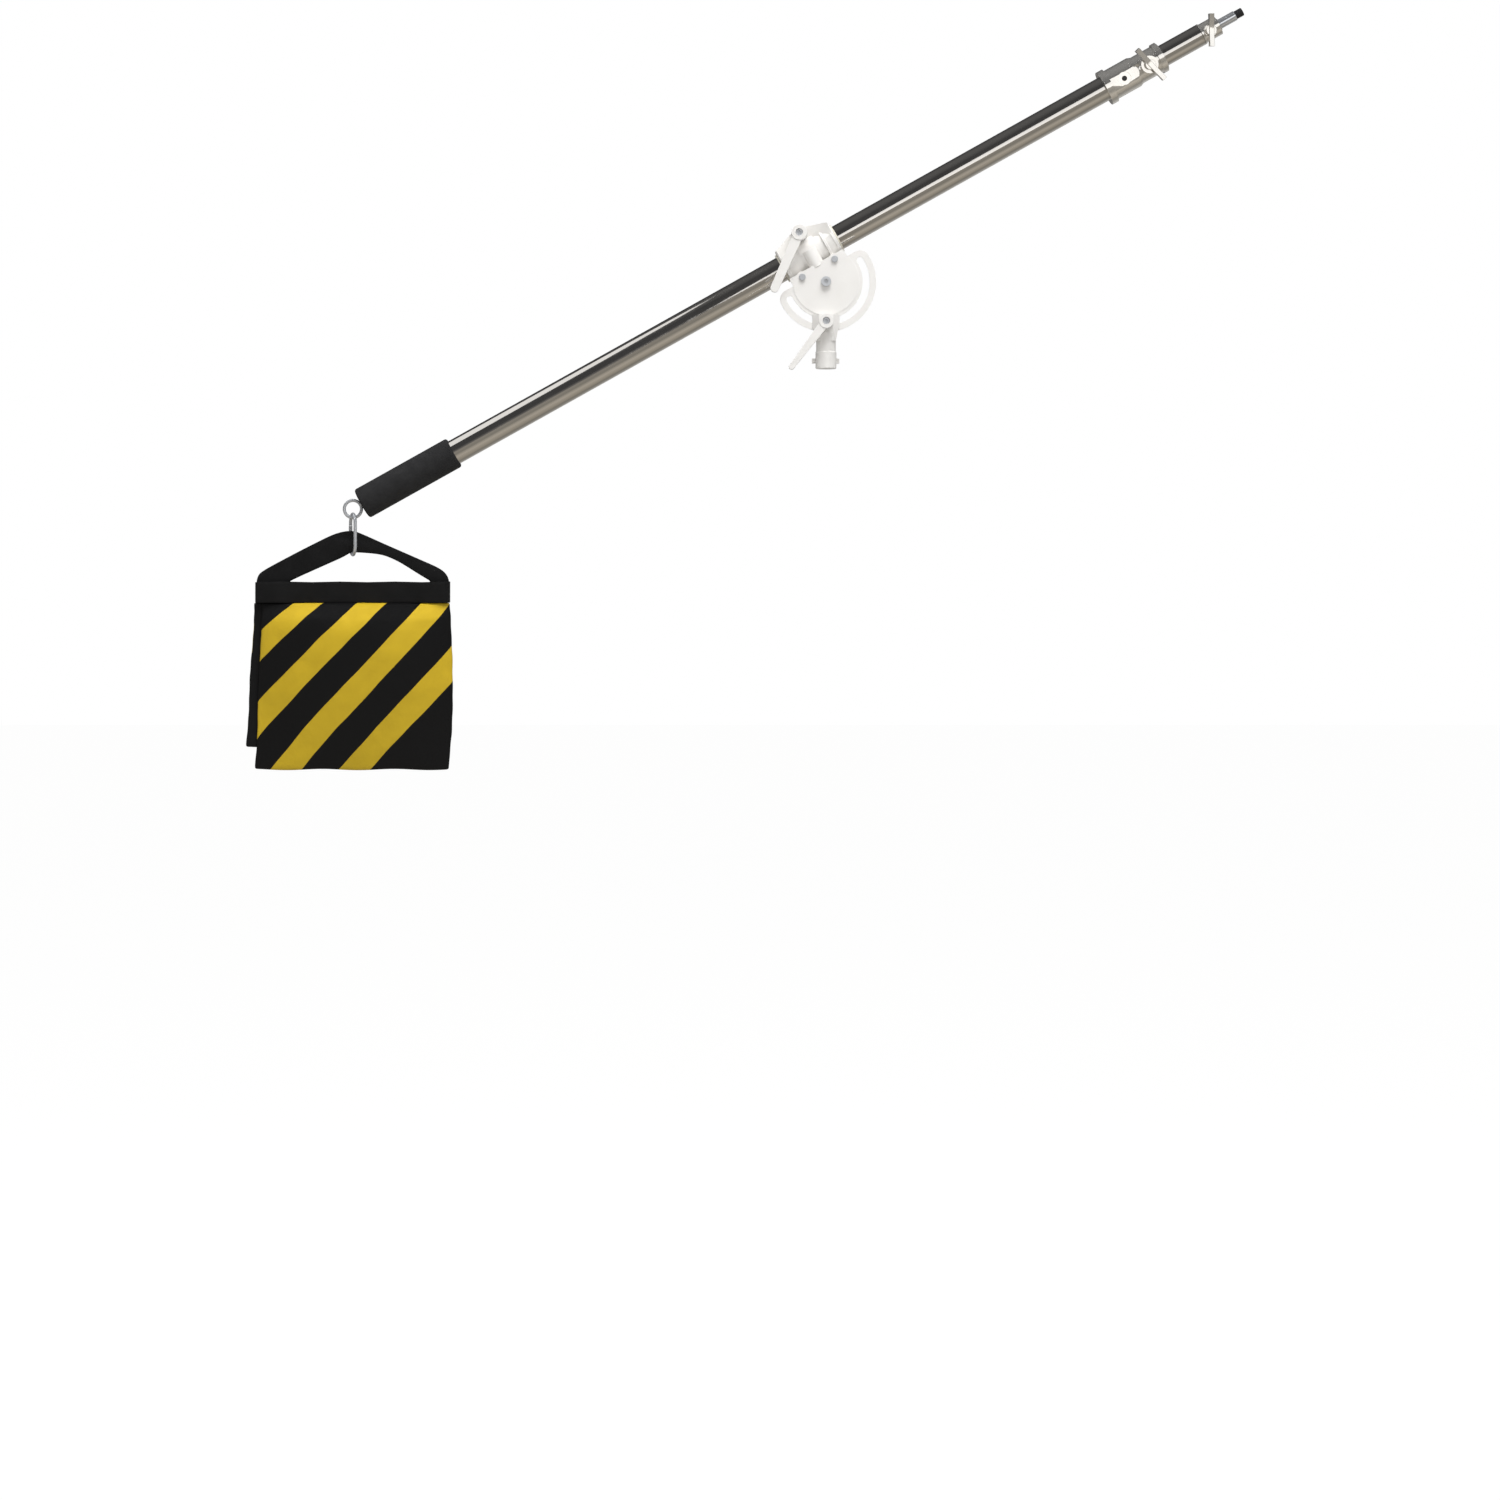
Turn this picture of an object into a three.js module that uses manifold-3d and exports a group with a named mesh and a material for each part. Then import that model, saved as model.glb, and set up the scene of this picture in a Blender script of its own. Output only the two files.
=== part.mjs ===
// An overhead boom arm: a two-section tube on a swivel head, balanced by a striped saddle sandbag.
// Units are millimetres, +Z is up and +X runs towards the boom's working tip.
// The origin is the centre of the mouth of the socket that the stand's pin enters.
import * as THREE from "three";
import { mergeVertices } from "three/addons/utils/BufferGeometryUtils.js";
import Module from "manifold-3d";

const wasm = await Module();
wasm.setup();

// Running clearance between pieces that touch or turn, and the overrun of every cut
const gap = 0.3;
const overrun = 2;
const weldDistance = 0.001;

// Whole arm: how far the boom leans up from level
const boomTilt = THREE.MathUtils.degToRad(29.225);
const frontRoll = THREE.MathUtils.degToRad(7);

// Receiver: the stand socket with its fork and the arm behind the plate
const socketDiameter = 16.2;
const socketDepth = 40;
const socketWeb = 4.7;
const lowerBarrelDiameter = 26;
const lowerBarrelShare = 0.515;
const upperBarrelDiameter = 24.4;
const neckLength = 10;
const neckFlare = 2;
const forkWidth = 34;
const forkTopRise = 9.2;
const forkFaceWidth = 18;
const forkFlankDrop = 5.6;
const forkFlankWidth = 28.8;
const forkFlankHeight = 7;
const frontCheekThickness = 8;
const armThickness = 6;
const armEndRadius = 13;
const socketKnobHeight = 11;
const socketBossDiameter = 16;
const socketBossReach = 4;
const receiverEdge = 1;

// Sector plate: a slotted disc with a raised middle, cut off along a chord under the boom
const plateThickness = 5;
const plateStep = 0.6;
const slotMidRadius = 50;
const slotClearance = 0.5;
const slotWall = 8;
const slotEndAngle = THREE.MathUtils.degToRad(93);
const plateFaceRadius = 41.5;
const plateBlockMargin = 15;
const plateChordMargin = 1.65;
const plateScrewSpacing = 46;
const plateUndercut = 1.5;

// Pivot and lock hardware
const pivotBoltDiameter = 8;
const pivotHeadDiameter = 12.5;
const pivotHeadHeight = 5.2;
const pivotSocketDiameter = 5;
const pivotSocketDepth = 2.6;
const nutHeight = 6.5;
const nutAcrossFlats = 13;
const washerThickness = 1.5;
const washerDiameter = 16;
const frictionDiscDiameter = 26;
const frictionDiscThickness = 1.5;
const lockBoltDiameter = 8;
const lockHeadDiameter = 14;
const lockHeadHeight = 4.5;
const boltEndProud = 2;

// Locking levers: a round hub with a retaining screw in its face, and a flat tapering arm
const leverScrewDiameter = 8.4;
const leverScrewHeight = 3;
const leverScrewShankDiameter = 3.6;
const leverScrewShankLength = 8;
const leverScrewSocketDiameter = 4;
const leverScrewSocketDepth = 1.8;
const leverRecess = 5;
const leverArmThickness = 6.5;
const leverFaceDrop = 1;
const tiltHubDiameter = 18.5;
const tiltHubStand = 9;
const tiltArmLength = 75;
const tiltArmRootWidth = 11.5;
const tiltArmTipWidth = 7;
const tiltArmAngle = THREE.MathUtils.degToRad(-127);
const clampHubDiameter = 19.5;
const clampArmLength = 81;
const clampArmRootWidth = 13;
const clampArmTipWidth = 10.5;
const clampArmAngle = THREE.MathUtils.degToRad(-143);
const leverOverPlate = 4;

// Clamp: a split sleeve with end bands, pinch ears on top and two pads screwed to the plate
const boomRise = 42;
const clampLength = 74.5;
const clampShift = 0.75;
const clampWall = 2.6;
const clampBandHeight = 1.6;
const clampEndBandWidth = 15.5;
const clampMiddleBandWidth = 24;
const clampPadRadius = 7.5;
const clampPadDrop = 2.4;
const armSwingClearance = 1;
const clampSlit = 3;
const earThickness = 11.2;
const earHalfLength = 36;
const earEndHeight = 22.4;
const earShoulderHalf = 10.5;
const earShoulderShare = 0.5;
const clampBoltForward = 0.5;
const clampBoltLift = 5;
const clampBoltDiameter = 8;
const clampBoltHeadHeight = 5.5;
const clampBossRadius = 9;
const linerThickness = 1.5;
const linerLip = 2;
const linerLipHeight = 0.9;

// Plate screws: button heads on the plate's face, shanks into the clamp's pads
const plateScrewDiameter = 5;
const plateScrewHeadDiameter = 8.5;
const plateScrewHeadHeight = 2.8;
const plateScrewDepth = 10;

// Outer section, measured along the boom from the clamp's middle
const outerTubeDiameter = 31.5;
const outerTubeWall = 1.5;
const rearReach = 635.2;
const collarStart = 422.3;
const gripLength = 132;
const gripThickness = 4;
const gripOverhang = 5;
const gripRound = 3;
const gripRoundShare = 1 / 3;

// Rear plug and eye bolt
const plugFlange = 3;
const plugDepth = 16;
const eyeWireDiameter = 4;
const eyeMeanRadius = 10.75;
const eyeShankDiameter = 6;
const eyeNutAcrossFlats = 10;
const eyeNutHeight = 5;

// Front collar: a clamp casting on the outer tube's front end, with a flat face and a knob boss
const collarLength = 83;
const collarFlange = 8.7;
const collarFlangeHeight = 6.4;
const collarBodyLength = 33.7;
const collarBodyWall = 3.7;
const collarTaperLength = 4.5;
const collarNeckWall = 1.8;
const collarFrontFlange = 6.5;
const collarLip = 1;
const collarFlatDepth = 1.5;
const collarTubeSeat = 41;
const collarBushLength = 14;
const collarBushThickness = 1.7;
const collarKnobPlace = 61.2;
const collarBossDiameter = 22;
const collarBossHeight = 5;
const rivetDiameter = 6;
const rivetPlace = 26;
const rivetProud = 0.8;
const rivetFaceDiameter = 16.5;
const rivetFaceDepth = 0.6;
const brakeShoeThickness = 3;

// Inner section
const innerTubeDiameter = 27.5;
const innerTubeWall = 1.5;
const innerTubeShown = 55;
const innerTubeRearRoom = 174.5;
const guidePlugLength = 12;
const tipInsert = 18;
const tipFlange = 2;
const tipBarrelDiameter = 25.2;
const tipBarrelLength = 22.7;
const tipKnobPlace = 8.9;
const tipBossDiameter = 16;
const tipBossHeight = 3;
const studDiameter = 16;
const studShoulder = 2;
const studNeckDiameter = 12.4;
const studNeckLength = 22.5;
const studThreadDiameter = 6.4;
const studThreadLength = 7.5;
const capDiameter = 10.5;
const capLength = 10;

// T-knobs: a threaded stem, a round hub and a flat bar that flares towards its ends
const knobStemDiameter = 8;
const knobHubDiameter = 13;
const knobHubLength = 7;
const frontKnobBarLength = 50;
const tipKnobBarLength = 40.5;
const knobBarThickness = 6;
const knobBarEndDepth = 11;
const knobBarWaistShare = 0.6;
const socketKnobBarLength = 34;
const frontKnobTurn = THREE.MathUtils.degToRad(45.6);
const tipKnobTurn = THREE.MathUtils.degToRad(88);

// Snap hook: a wire link in a plane square to the eye, turned a little about the vertical
const hookWireDiameter = 4.2;
const hookHalfWidth = 12;
const hookStraight = 26.8;
const hookTurn = THREE.MathUtils.degToRad(20);
const gateDiameter = 4.6;
const gatePinDiameter = 1.4;
const gatePinClearance = 0.15;
const gateTongue = 1.6;
const gateNoseDrop = 2.2;
const gatePivotRise = 2;

// Sandbag: a handle strap and a saddle band, with one pouch on each side of it
const strapWidth = 27;
const strapThickness = 3;
const strapSeat = 0.5;
const handleRise = 36.4;
const bandLength = 242;
const bandHeight = 26;
const bandHalfDepth = 9;
const bandOverhang = 8;
const pouchWidth = bandLength - bandOverhang;
const pouchDepth = 32;
const frontPouchHeight = 208.5;
const rearPouchHeight = 181;
const frontPouchShift = 2.6;
const rearPouchShift = -9;
const frontPouchLean = -5;
const rearPouchLean = -13;

// Round pieces are drawn with these many sides
const fineSides = 36;
const sides = 24;
const smallSides = 16;

// Materials
const finish = (color, roughness, metalness) =>
  new THREE.MeshStandardMaterial({ color, roughness, metalness });
const nickel = finish(0xe6e2da, 0.38, 0.85);
const chrome = finish(0xc9c4bb, 0.08, 1);
const zinc = finish(0xc3c7cc, 0.25, 1);
const blackSteel = finish(0x2a2a2c, 0.45, 0.8);
const blackFoam = finish(0x161616, 0.95, 0);
const blackPlastic = finish(0x121212, 0.5, 0);
const nylon = finish(0xd8d4c8, 0.6, 0);
const fibre = finish(0x4a3a2c, 0.85, 0);
const blackWebbing = finish(0x141414, 0.9, 0);
const stripedCloth = finish(0xd8b12a, 0.85, 0);

// A three.js geometry as a closed solid
function solidOf(geometry) {
  const loose = geometry.index ? geometry.toNonIndexed() : geometry;
  loose.deleteAttribute("normal");
  loose.deleteAttribute("uv");
  const merged = mergeVertices(loose, weldDistance);
  return new wasm.Manifold(
    new wasm.Mesh({
      numProp: 3,
      vertProperties: merged.attributes.position.array,
      triVerts: new Uint32Array(merged.index.array),
    }),
  );
}

// A solid as a named mesh in a group
function addPiece(group, name, solid, material) {
  const mesh = solid.getMesh();
  const geometry = new THREE.BufferGeometry();
  geometry.setAttribute("position", new THREE.BufferAttribute(mesh.vertProperties, mesh.numProp));
  geometry.setIndex(new THREE.BufferAttribute(mesh.triVerts, 1));
  geometry.computeVertexNormals();
  const piece = new THREE.Mesh(geometry, material);
  piece.name = name;
  group.add(piece);
}

// Joins or cuts several solids at once
const join = (...solids) => solids.reduce((whole, next) => whole.add(next));
const cut = (solid, ...tools) => tools.reduce((whole, next) => whole.subtract(next), solid);

// Turns a geometry made about Y so that it stands about X, Y or Z
const turnTo = {
  x: (geometry) => geometry.rotateZ(-Math.PI / 2),
  y: (geometry) => geometry,
  z: (geometry) => geometry.rotateX(Math.PI / 2),
};

// A turned piece from [radius, place along the axis] pairs, from one end of the axis to the other
function turned(profile, axis, count = sides, place = [0, 0, 0]) {
  const points = profile.map(([radius, along]) => new THREE.Vector2(radius, along));
  const geometry = turnTo[axis](new THREE.LatheGeometry(points, count));
  return solidOf(geometry.translate(...place));
}

// A round bar between two places along an axis, through a point
function rod(diameter, ends, axis, place = [0, 0, 0], count = sides) {
  const from = Math.min(...ends);
  const to = Math.max(...ends);
  const radius = diameter / 2;
  return turned([[0, from], [radius, from], [radius, to], [0, to]], axis, count, place);
}

// A hexagon bar, sized across its flats
function hexagon(acrossFlats, ends, axis, place) {
  return rod(acrossFlats / Math.cos(Math.PI / 6), ends, axis, place, 6);
}

// A ring with a bore between two places along an axis
function ring(outer, bore, ends, axis, place = [0, 0, 0], count = sides) {
  const from = Math.min(...ends);
  const to = Math.max(...ends);
  const profile = [[bore / 2, from], [outer / 2, from], [outer / 2, to], [bore / 2, to], [bore / 2, from]];
  return turned(profile, axis, count, place);
}

// A rectangular block from its low and high corners
function block(low, high) {
  const size = high.map((value, i) => value - low[i]);
  const middle = high.map((value, i) => (value + low[i]) / 2);
  return solidOf(new THREE.BoxGeometry(...size).translate(...middle));
}

// An outline seen from the front, in X and Z, given thickness between two places along Y
function frontPlate(outline, ends, curveSegments = 12) {
  const from = Math.min(...ends);
  const to = Math.max(...ends);
  const geometry = new THREE.ExtrudeGeometry(outline, {
    depth: to - from,
    bevelEnabled: false,
    curveSegments,
  });
  return solidOf(geometry.rotateX(Math.PI / 2).translate(0, to, 0));
}

// An outline seen from above, in X and Y, given height between two places along Z
function uprightPlate(outline, ends) {
  const [from, to] = ends;
  const geometry = new THREE.ExtrudeGeometry(outline, { depth: to - from, bevelEnabled: false });
  return solidOf(geometry.translate(0, 0, from));
}

// A shape from a list of corners
const polygon = (corners) => new THREE.Shape(corners.map(([x, z]) => new THREE.Vector2(x, z)));

// A round bar bent along a curve
function bentBar(diameter, curve, steps) {
  const section = new THREE.Shape().absarc(0, 0, diameter / 2, 0, 2 * Math.PI);
  return solidOf(
    new THREE.ExtrudeGeometry(section, { extrudePath: curve, steps, curveSegments: 5, bevelEnabled: false }),
  );
}

// Layers of points, each a closed loop seen anticlockwise from above, joined from the lowest up
function lofted(layers) {
  const count = layers[0].length;
  const positions = [];
  const triangle = (a, b, c) => positions.push(...a, ...b, ...c);
  const middleOf = (layer) =>
    [0, 1, 2].map((axis) => layer.reduce((sum, point) => sum + point[axis], 0) / count);
  const lowest = layers[0];
  const highest = layers[layers.length - 1];
  for (let i = 0; i < count; i++) {
    const next = (i + 1) % count;
    triangle(middleOf(lowest), lowest[next], lowest[i]);
    triangle(middleOf(highest), highest[i], highest[next]);
    for (let level = 0; level + 1 < layers.length; level++) {
      const below = layers[level];
      const above = layers[level + 1];
      triangle(below[i], below[next], above[next]);
      triangle(below[i], above[next], above[i]);
    }
  }
  const geometry = new THREE.BufferGeometry();
  geometry.setAttribute("position", new THREE.Float32BufferAttribute(positions, 3));
  return solidOf(geometry);
}

// A T-knob whose axis is -Y through a point: its stem's tip and its hub's foot are places along Y
function tKnob(tip, foot, barLength) {
  const hubEnd = foot - knobHubLength;
  const barFoot = hubEnd + knobBarEndDepth * (1 - knobBarWaistShare);
  const waistDepth = knobBarEndDepth * knobBarWaistShare;
  const flare = (knobBarEndDepth - waistDepth) / 2;
  const half = barLength / 2;
  const hubHalf = knobHubDiameter / 2;
  const corners = [
    [-half, barFoot + flare],
    [-hubHalf, barFoot],
    [hubHalf, barFoot],
    [half, barFoot + flare],
    [half, barFoot - waistDepth - flare],
    [hubHalf, barFoot - waistDepth],
    [-hubHalf, barFoot - waistDepth],
    [-half, barFoot - waistDepth - flare],
  ].reverse();
  const bar = new THREE.ExtrudeGeometry(polygon(corners), { depth: knobBarThickness, bevelEnabled: false });
  return join(
    rod(knobStemDiameter, [tip, foot], "y", [0, 0, 0], smallSides),
    rod(knobHubDiameter, [foot, hubEnd], "y", [0, 0, 0], smallSides),
    solidOf(bar.translate(0, 0, -knobBarThickness / 2)),
  );
}

// A lever on a bolt along Y: hub between two places, arm along +X at the hub's front, bore and recess
function leverOnBolt(hubDiameter, hubBack, hubFront, armLength, rootWidth, tipWidth, boltDiameter, boltEnd) {
  const face = hubFront + leverFaceDrop;
  const outline = new THREE.Shape();
  outline.moveTo(0, rootWidth / 2);
  outline.lineTo(0, -rootWidth / 2);
  outline.lineTo(armLength - tipWidth / 2, -tipWidth / 2);
  outline.absarc(armLength - tipWidth / 2, 0, tipWidth / 2, -Math.PI / 2, Math.PI / 2);
  return cut(
    join(
      rod(hubDiameter, [hubBack, hubFront], "y"),
      frontPlate(outline, [face, face + leverArmThickness], 6),
    ),
    rod(boltDiameter + 2 * gap, [hubBack + overrun, boltEnd - gap], "y", [0, 0, 0], smallSides),
    rod(leverScrewShankDiameter + 2 * gap, [boltEnd, hubFront], "y", [0, 0, 0], smallSides),
    rod(leverScrewDiameter + 2 * gap, [hubFront + leverRecess, hubFront - overrun], "y", [0, 0, 0], smallSides),
  );
}

// The screw in the lever's recess, with its shank in the bolt's tapped end
function leverScrew(hubFront) {
  const seat = hubFront + leverRecess - gap;
  const top = seat - leverScrewHeight;
  return cut(
    join(
      rod(leverScrewDiameter, [seat, top], "y", [0, 0, 0], smallSides),
      rod(leverScrewShankDiameter, [top, seat + leverScrewShankLength], "y", [0, 0, 0], smallSides),
    ),
    hexagon(leverScrewSocketDiameter, [top - overrun, top + leverScrewSocketDepth], "y"),
  );
}

// The blind hole in a lever bolt's end that the lever screw's shank enters
function leverScrewHole(boltEnd, hubFront) {
  const depth = hubFront + leverRecess + leverScrewShankLength;
  return rod(leverScrewShankDiameter + 2 * gap, [boltEnd - overrun, depth], "y", [0, 0, 0], smallSides);
}

// Places along Y, from the plate's middle plane: minus is the front
const plateFront = -plateThickness / 2;
const plateBack = plateThickness / 2;
const slotFront = plateFront - gap;
const slotBack = plateBack + gap;
const frontCheekFace = slotFront - frontCheekThickness;
const armFront = plateBack + gap + frictionDiscThickness + gap;
const armBack = armFront + armThickness;

// Heights in the receiver
const slotWidth = lockBoltDiameter + slotClearance;
const plateRadius = slotMidRadius + slotWidth / 2 + slotWall;
const slotBottom = socketDepth + socketWeb;
const pivotHeight = slotBottom + plateUndercut + plateRadius;
const lockHeight = pivotHeight - slotMidRadius;
const forkTop = lockHeight + forkTopRise;
const lowerBarrelHeight = socketDepth * lowerBarrelShare;
const neckFoot = slotBottom - neckLength;

// The clamp's sizes follow the tube that it holds
const outerTubeRadius = outerTubeDiameter / 2;
const outerTubeBore = outerTubeDiameter - 2 * outerTubeWall;
const linerBore = outerTubeDiameter + 2 * gap;
const linerDiameter = linerBore + 2 * linerThickness;
const clampBore = linerDiameter + 2 * gap;
const sleeveRadius = clampBore / 2 + clampWall;
const bandRadius = sleeveRadius + clampBandHeight;
const boomSetback = plateBack + gap + bandRadius;
const clampBoltRise = bandRadius + clampBoltLift;
const plateScrewRise = boomRise - sleeveRadius - clampPadDrop;
const clampRear = clampShift - clampLength / 2;
const clampFront = clampShift + clampLength / 2;
const hubOverBand = clampBoltRise - clampHubDiameter / 2;
const bandDepthAtHub = Math.sqrt(Math.max(0, bandRadius ** 2 - hubOverBand ** 2));
const earFace = Math.max(clampSlit / 2 + earThickness, bandDepthAtHub - washerThickness - gap);
const armHalfWidth = plateScrewRise - clampPadRadius - armSwingClearance;

const arm = new THREE.Group();

// Upright side of the swivel head
const upright = new THREE.Group();
arm.add(upright);

function receiver() {
  const lowerRadius = lowerBarrelDiameter / 2;
  const upperRadius = upperBarrelDiameter / 2;
  const barrel = turned(
    [
      [0, 0],
      [lowerRadius - receiverEdge, 0],
      [lowerRadius, receiverEdge],
      [lowerRadius, lowerBarrelHeight],
      [upperRadius, lowerBarrelHeight + receiverEdge],
      [upperRadius, neckFoot],
      [upperRadius + neckFlare, slotBottom],
      [0, slotBottom],
    ],
    "z",
    fineSides,
  );
  const half = forkWidth / 2;
  const forkFront = polygon([
    [half, forkTop],
    [-half, forkTop],
    [-half, lockHeight - forkFlankDrop],
    [-forkFlankWidth / 2, lockHeight - forkFlankDrop - forkFlankHeight],
    [-upperBarrelDiameter / 2, neckFoot],
    [upperBarrelDiameter / 2, neckFoot],
    [forkFlankWidth / 2, lockHeight - forkFlankDrop - forkFlankHeight],
    [half, lockHeight - forkFlankDrop],
  ]);
  const forkPlan = polygon([
    [-forkFaceWidth / 2, frontCheekFace],
    [forkFaceWidth / 2, frontCheekFace],
    [half, slotFront],
    [half, armBack],
    [-half, armBack],
    [-half, slotFront],
  ]);
  const fork = frontPlate(forkFront, [frontCheekFace, armBack]).intersect(
    uprightPlate(forkPlan, [neckFoot, forkTop]),
  );
  const rearArm = block([-armHalfWidth, slotBack, lockHeight], [armHalfWidth, armBack, pivotHeight]);
  const armEnd = rod(2 * armEndRadius, [slotBack, armBack], "y", [0, 0, pivotHeight], fineSides);
  const boss = rod(
    socketBossDiameter,
    [0, lowerRadius + socketBossReach],
    "y",
    [0, 0, socketKnobHeight],
  );
  return cut(
    join(barrel, fork, rearArm, armEnd, boss),
    block([-forkWidth, slotFront, slotBottom], [forkWidth, slotBack, pivotHeight + plateRadius]),
    block([-forkWidth, 0, forkTop], [forkWidth, armFront, pivotHeight + plateRadius]),
    rod(socketDiameter, [-overrun, socketDepth], "z", [0, 0, 0], sides),
    rod(pivotBoltDiameter + 2 * gap, [0, armBack + overrun], "y", [0, 0, pivotHeight], smallSides),
    rod(
      lockBoltDiameter + 2 * gap,
      [frontCheekFace - overrun, armBack + overrun],
      "y",
      [0, 0, lockHeight],
      smallSides,
    ),
    rod(
      knobStemDiameter + 2 * gap,
      [0, lowerRadius + socketBossReach + overrun],
      "y",
      [0, 0, socketKnobHeight],
      smallSides,
    ),
  );
}
addPiece(upright, "receiver", receiver(), nickel);

// Pivot hardware: bolt head on the plate's face, disc between plate and arm, washer and nut behind
const pivot = new THREE.Group();
pivot.position.set(0, 0, pivotHeight);
upright.add(pivot);
const pivotNutFoot = armBack + gap + washerThickness + gap;
const pivotHeadFoot = plateFront - gap;
addPiece(
  pivot,
  "pivot_bolt",
  cut(
    join(
      rod(pivotHeadDiameter, [pivotHeadFoot, pivotHeadFoot - pivotHeadHeight], "y"),
      rod(pivotBoltDiameter, [pivotHeadFoot, pivotNutFoot + nutHeight + boltEndProud], "y"),
    ),
    hexagon(
      pivotSocketDiameter,
      [pivotHeadFoot - pivotHeadHeight - overrun, pivotHeadFoot - pivotHeadHeight + pivotSocketDepth],
      "y",
    ),
  ),
  zinc,
);
addPiece(
  pivot,
  "friction_disc",
  ring(frictionDiscDiameter, pivotBoltDiameter + 2 * gap, [armFront - gap, plateBack + gap], "y"),
  fibre,
);
addPiece(
  pivot,
  "pivot_washer",
  ring(washerDiameter, pivotBoltDiameter + 2 * gap, [armBack + gap, armBack + gap + washerThickness], "y"),
  zinc,
);
addPiece(
  pivot,
  "pivot_nut",
  cut(
    hexagon(nutAcrossFlats, [pivotNutFoot, pivotNutFoot + nutHeight], "y"),
    rod(pivotBoltDiameter + 2 * gap, [0, pivotNutFoot + nutHeight + overrun], "y", [0, 0, 0], smallSides),
  ),
  zinc,
);

// Tilt lock: a bolt from behind through both cheeks and the plate's slot, drawn up by a lever
const lock = new THREE.Group();
lock.position.set(0, 0, lockHeight);
upright.add(lock);
const lockWasherFace = frontCheekFace - gap - washerThickness;
const tiltHubBack = lockWasherFace - gap;
const tiltHubFront = tiltHubBack - tiltHubStand - leverRecess;
const lockBoltEnd = tiltHubBack - tiltHubStand + leverScrewHeight;
addPiece(
  lock,
  "lock_bolt",
  cut(
    join(
      rod(lockHeadDiameter, [armBack + gap, armBack + gap + lockHeadHeight], "y"),
      rod(lockBoltDiameter, [armBack + gap, lockBoltEnd], "y", [0, 0, 0], smallSides),
    ),
    leverScrewHole(lockBoltEnd, tiltHubFront),
  ),
  zinc,
);
addPiece(
  lock,
  "lock_washer",
  ring(washerDiameter, lockBoltDiameter + 2 * gap, [frontCheekFace - gap, lockWasherFace], "y"),
  zinc,
);
const tiltLever = new THREE.Group();
tiltLever.rotation.y = -tiltArmAngle;
lock.add(tiltLever);
addPiece(
  tiltLever,
  "tilt_lever",
  leverOnBolt(
    tiltHubDiameter,
    tiltHubBack,
    tiltHubFront,
    tiltArmLength,
    tiltArmRootWidth,
    tiltArmTipWidth,
    lockBoltDiameter,
    lockBoltEnd,
  ),
  nickel,
);
addPiece(tiltLever, "tilt_lever_screw", leverScrew(tiltHubFront), zinc);

// Socket knob behind the receiver, its stem's tip flush with the socket's wall
const socketKnob = new THREE.Group();
socketKnob.position.set(0, 0, socketKnobHeight);
socketKnob.rotation.z = Math.PI;
upright.add(socketKnob);
const socketBossFace = lowerBarrelDiameter / 2 + socketBossReach;
addPiece(
  socketKnob,
  "socket_knob",
  tKnob(-socketDiameter / 2 - gap, -socketBossFace - gap, socketKnobBarLength),
  nickel,
);

// Turning side of the head: its origin is the pivot, +X runs along the boom
const head = new THREE.Group();
head.position.set(0, 0, pivotHeight);
head.rotation.y = -boomTilt;
arm.add(head);

function sectorPlate() {
  const endAngle = slotEndAngle - Math.PI / 2;
  const slotEnd = (side) => [side * slotMidRadius * Math.cos(endAngle), slotMidRadius * Math.sin(endAngle)];
  const rimWidth = plateRadius - slotMidRadius;
  const blockHalfWidth = plateScrewSpacing / 2 + plateBlockMargin;
  const shoulderHeight = slotEnd(1)[1] + rimWidth;
  const chordHeight = plateScrewRise + plateScrewHeadDiameter / 2 + plateChordMargin;
  const outline = new THREE.Shape();
  outline.moveTo(blockHalfWidth, chordHeight);
  outline.lineTo(-blockHalfWidth, chordHeight);
  outline.lineTo(-blockHalfWidth, shoulderHeight);
  outline.absarc(...slotEnd(-1), rimWidth, Math.PI / 2, Math.PI - endAngle, false);
  outline.absarc(0, 0, plateRadius, Math.PI - endAngle, endAngle, false);
  outline.absarc(...slotEnd(1), rimWidth, endAngle, Math.PI / 2, false);
  outline.lineTo(blockHalfWidth, shoulderHeight);
  const slot = new THREE.Shape();
  slot.absarc(0, 0, slotMidRadius + slotWidth / 2, Math.PI - endAngle, endAngle, false);
  slot.absarc(...slotEnd(1), slotWidth / 2, endAngle, Math.PI + endAngle, false);
  slot.absarc(0, 0, slotMidRadius - slotWidth / 2, endAngle, Math.PI - endAngle, true);
  slot.absarc(...slotEnd(-1), slotWidth / 2, -endAngle, Math.PI - endAngle, false);
  const rim = ring(
    2 * (plateRadius + overrun),
    2 * plateFaceRadius,
    [plateFront - overrun, plateFront + plateStep],
    "y",
    [0, 0, 0],
    fineSides,
  );
  const screwHole = (side) =>
    rod(
      plateScrewDiameter + 2 * gap,
      [plateFront - overrun, plateBack + overrun],
      "y",
      [side * plateScrewSpacing / 2, 0, plateScrewRise],
      smallSides,
    );
  return cut(
    frontPlate(outline, [plateFront, plateBack], 32),
    frontPlate(slot, [plateFront - overrun, plateBack + overrun], 32),
    rim,
    rod(pivotBoltDiameter + 2 * gap, [plateFront - overrun, plateBack + overrun], "y", [0, 0, 0], smallSides),
    screwHole(-1),
    screwHole(1),
  );
}
addPiece(head, "sector_plate", sectorPlate(), nickel);

for (const [name, side] of [["rear", -1], ["front", 1]]) {
  const place = [side * plateScrewSpacing / 2, 0, plateScrewRise];
  const seat = plateFront - gap;
  addPiece(
    head,
    "plate_screw_" + name,
    join(
      rod(plateScrewHeadDiameter, [seat, seat - plateScrewHeadHeight], "y", place, smallSides),
      rod(plateScrewDiameter, [seat, plateBack + plateScrewDepth - gap], "y", place, smallSides),
    ),
    zinc,
  );
}

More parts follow.
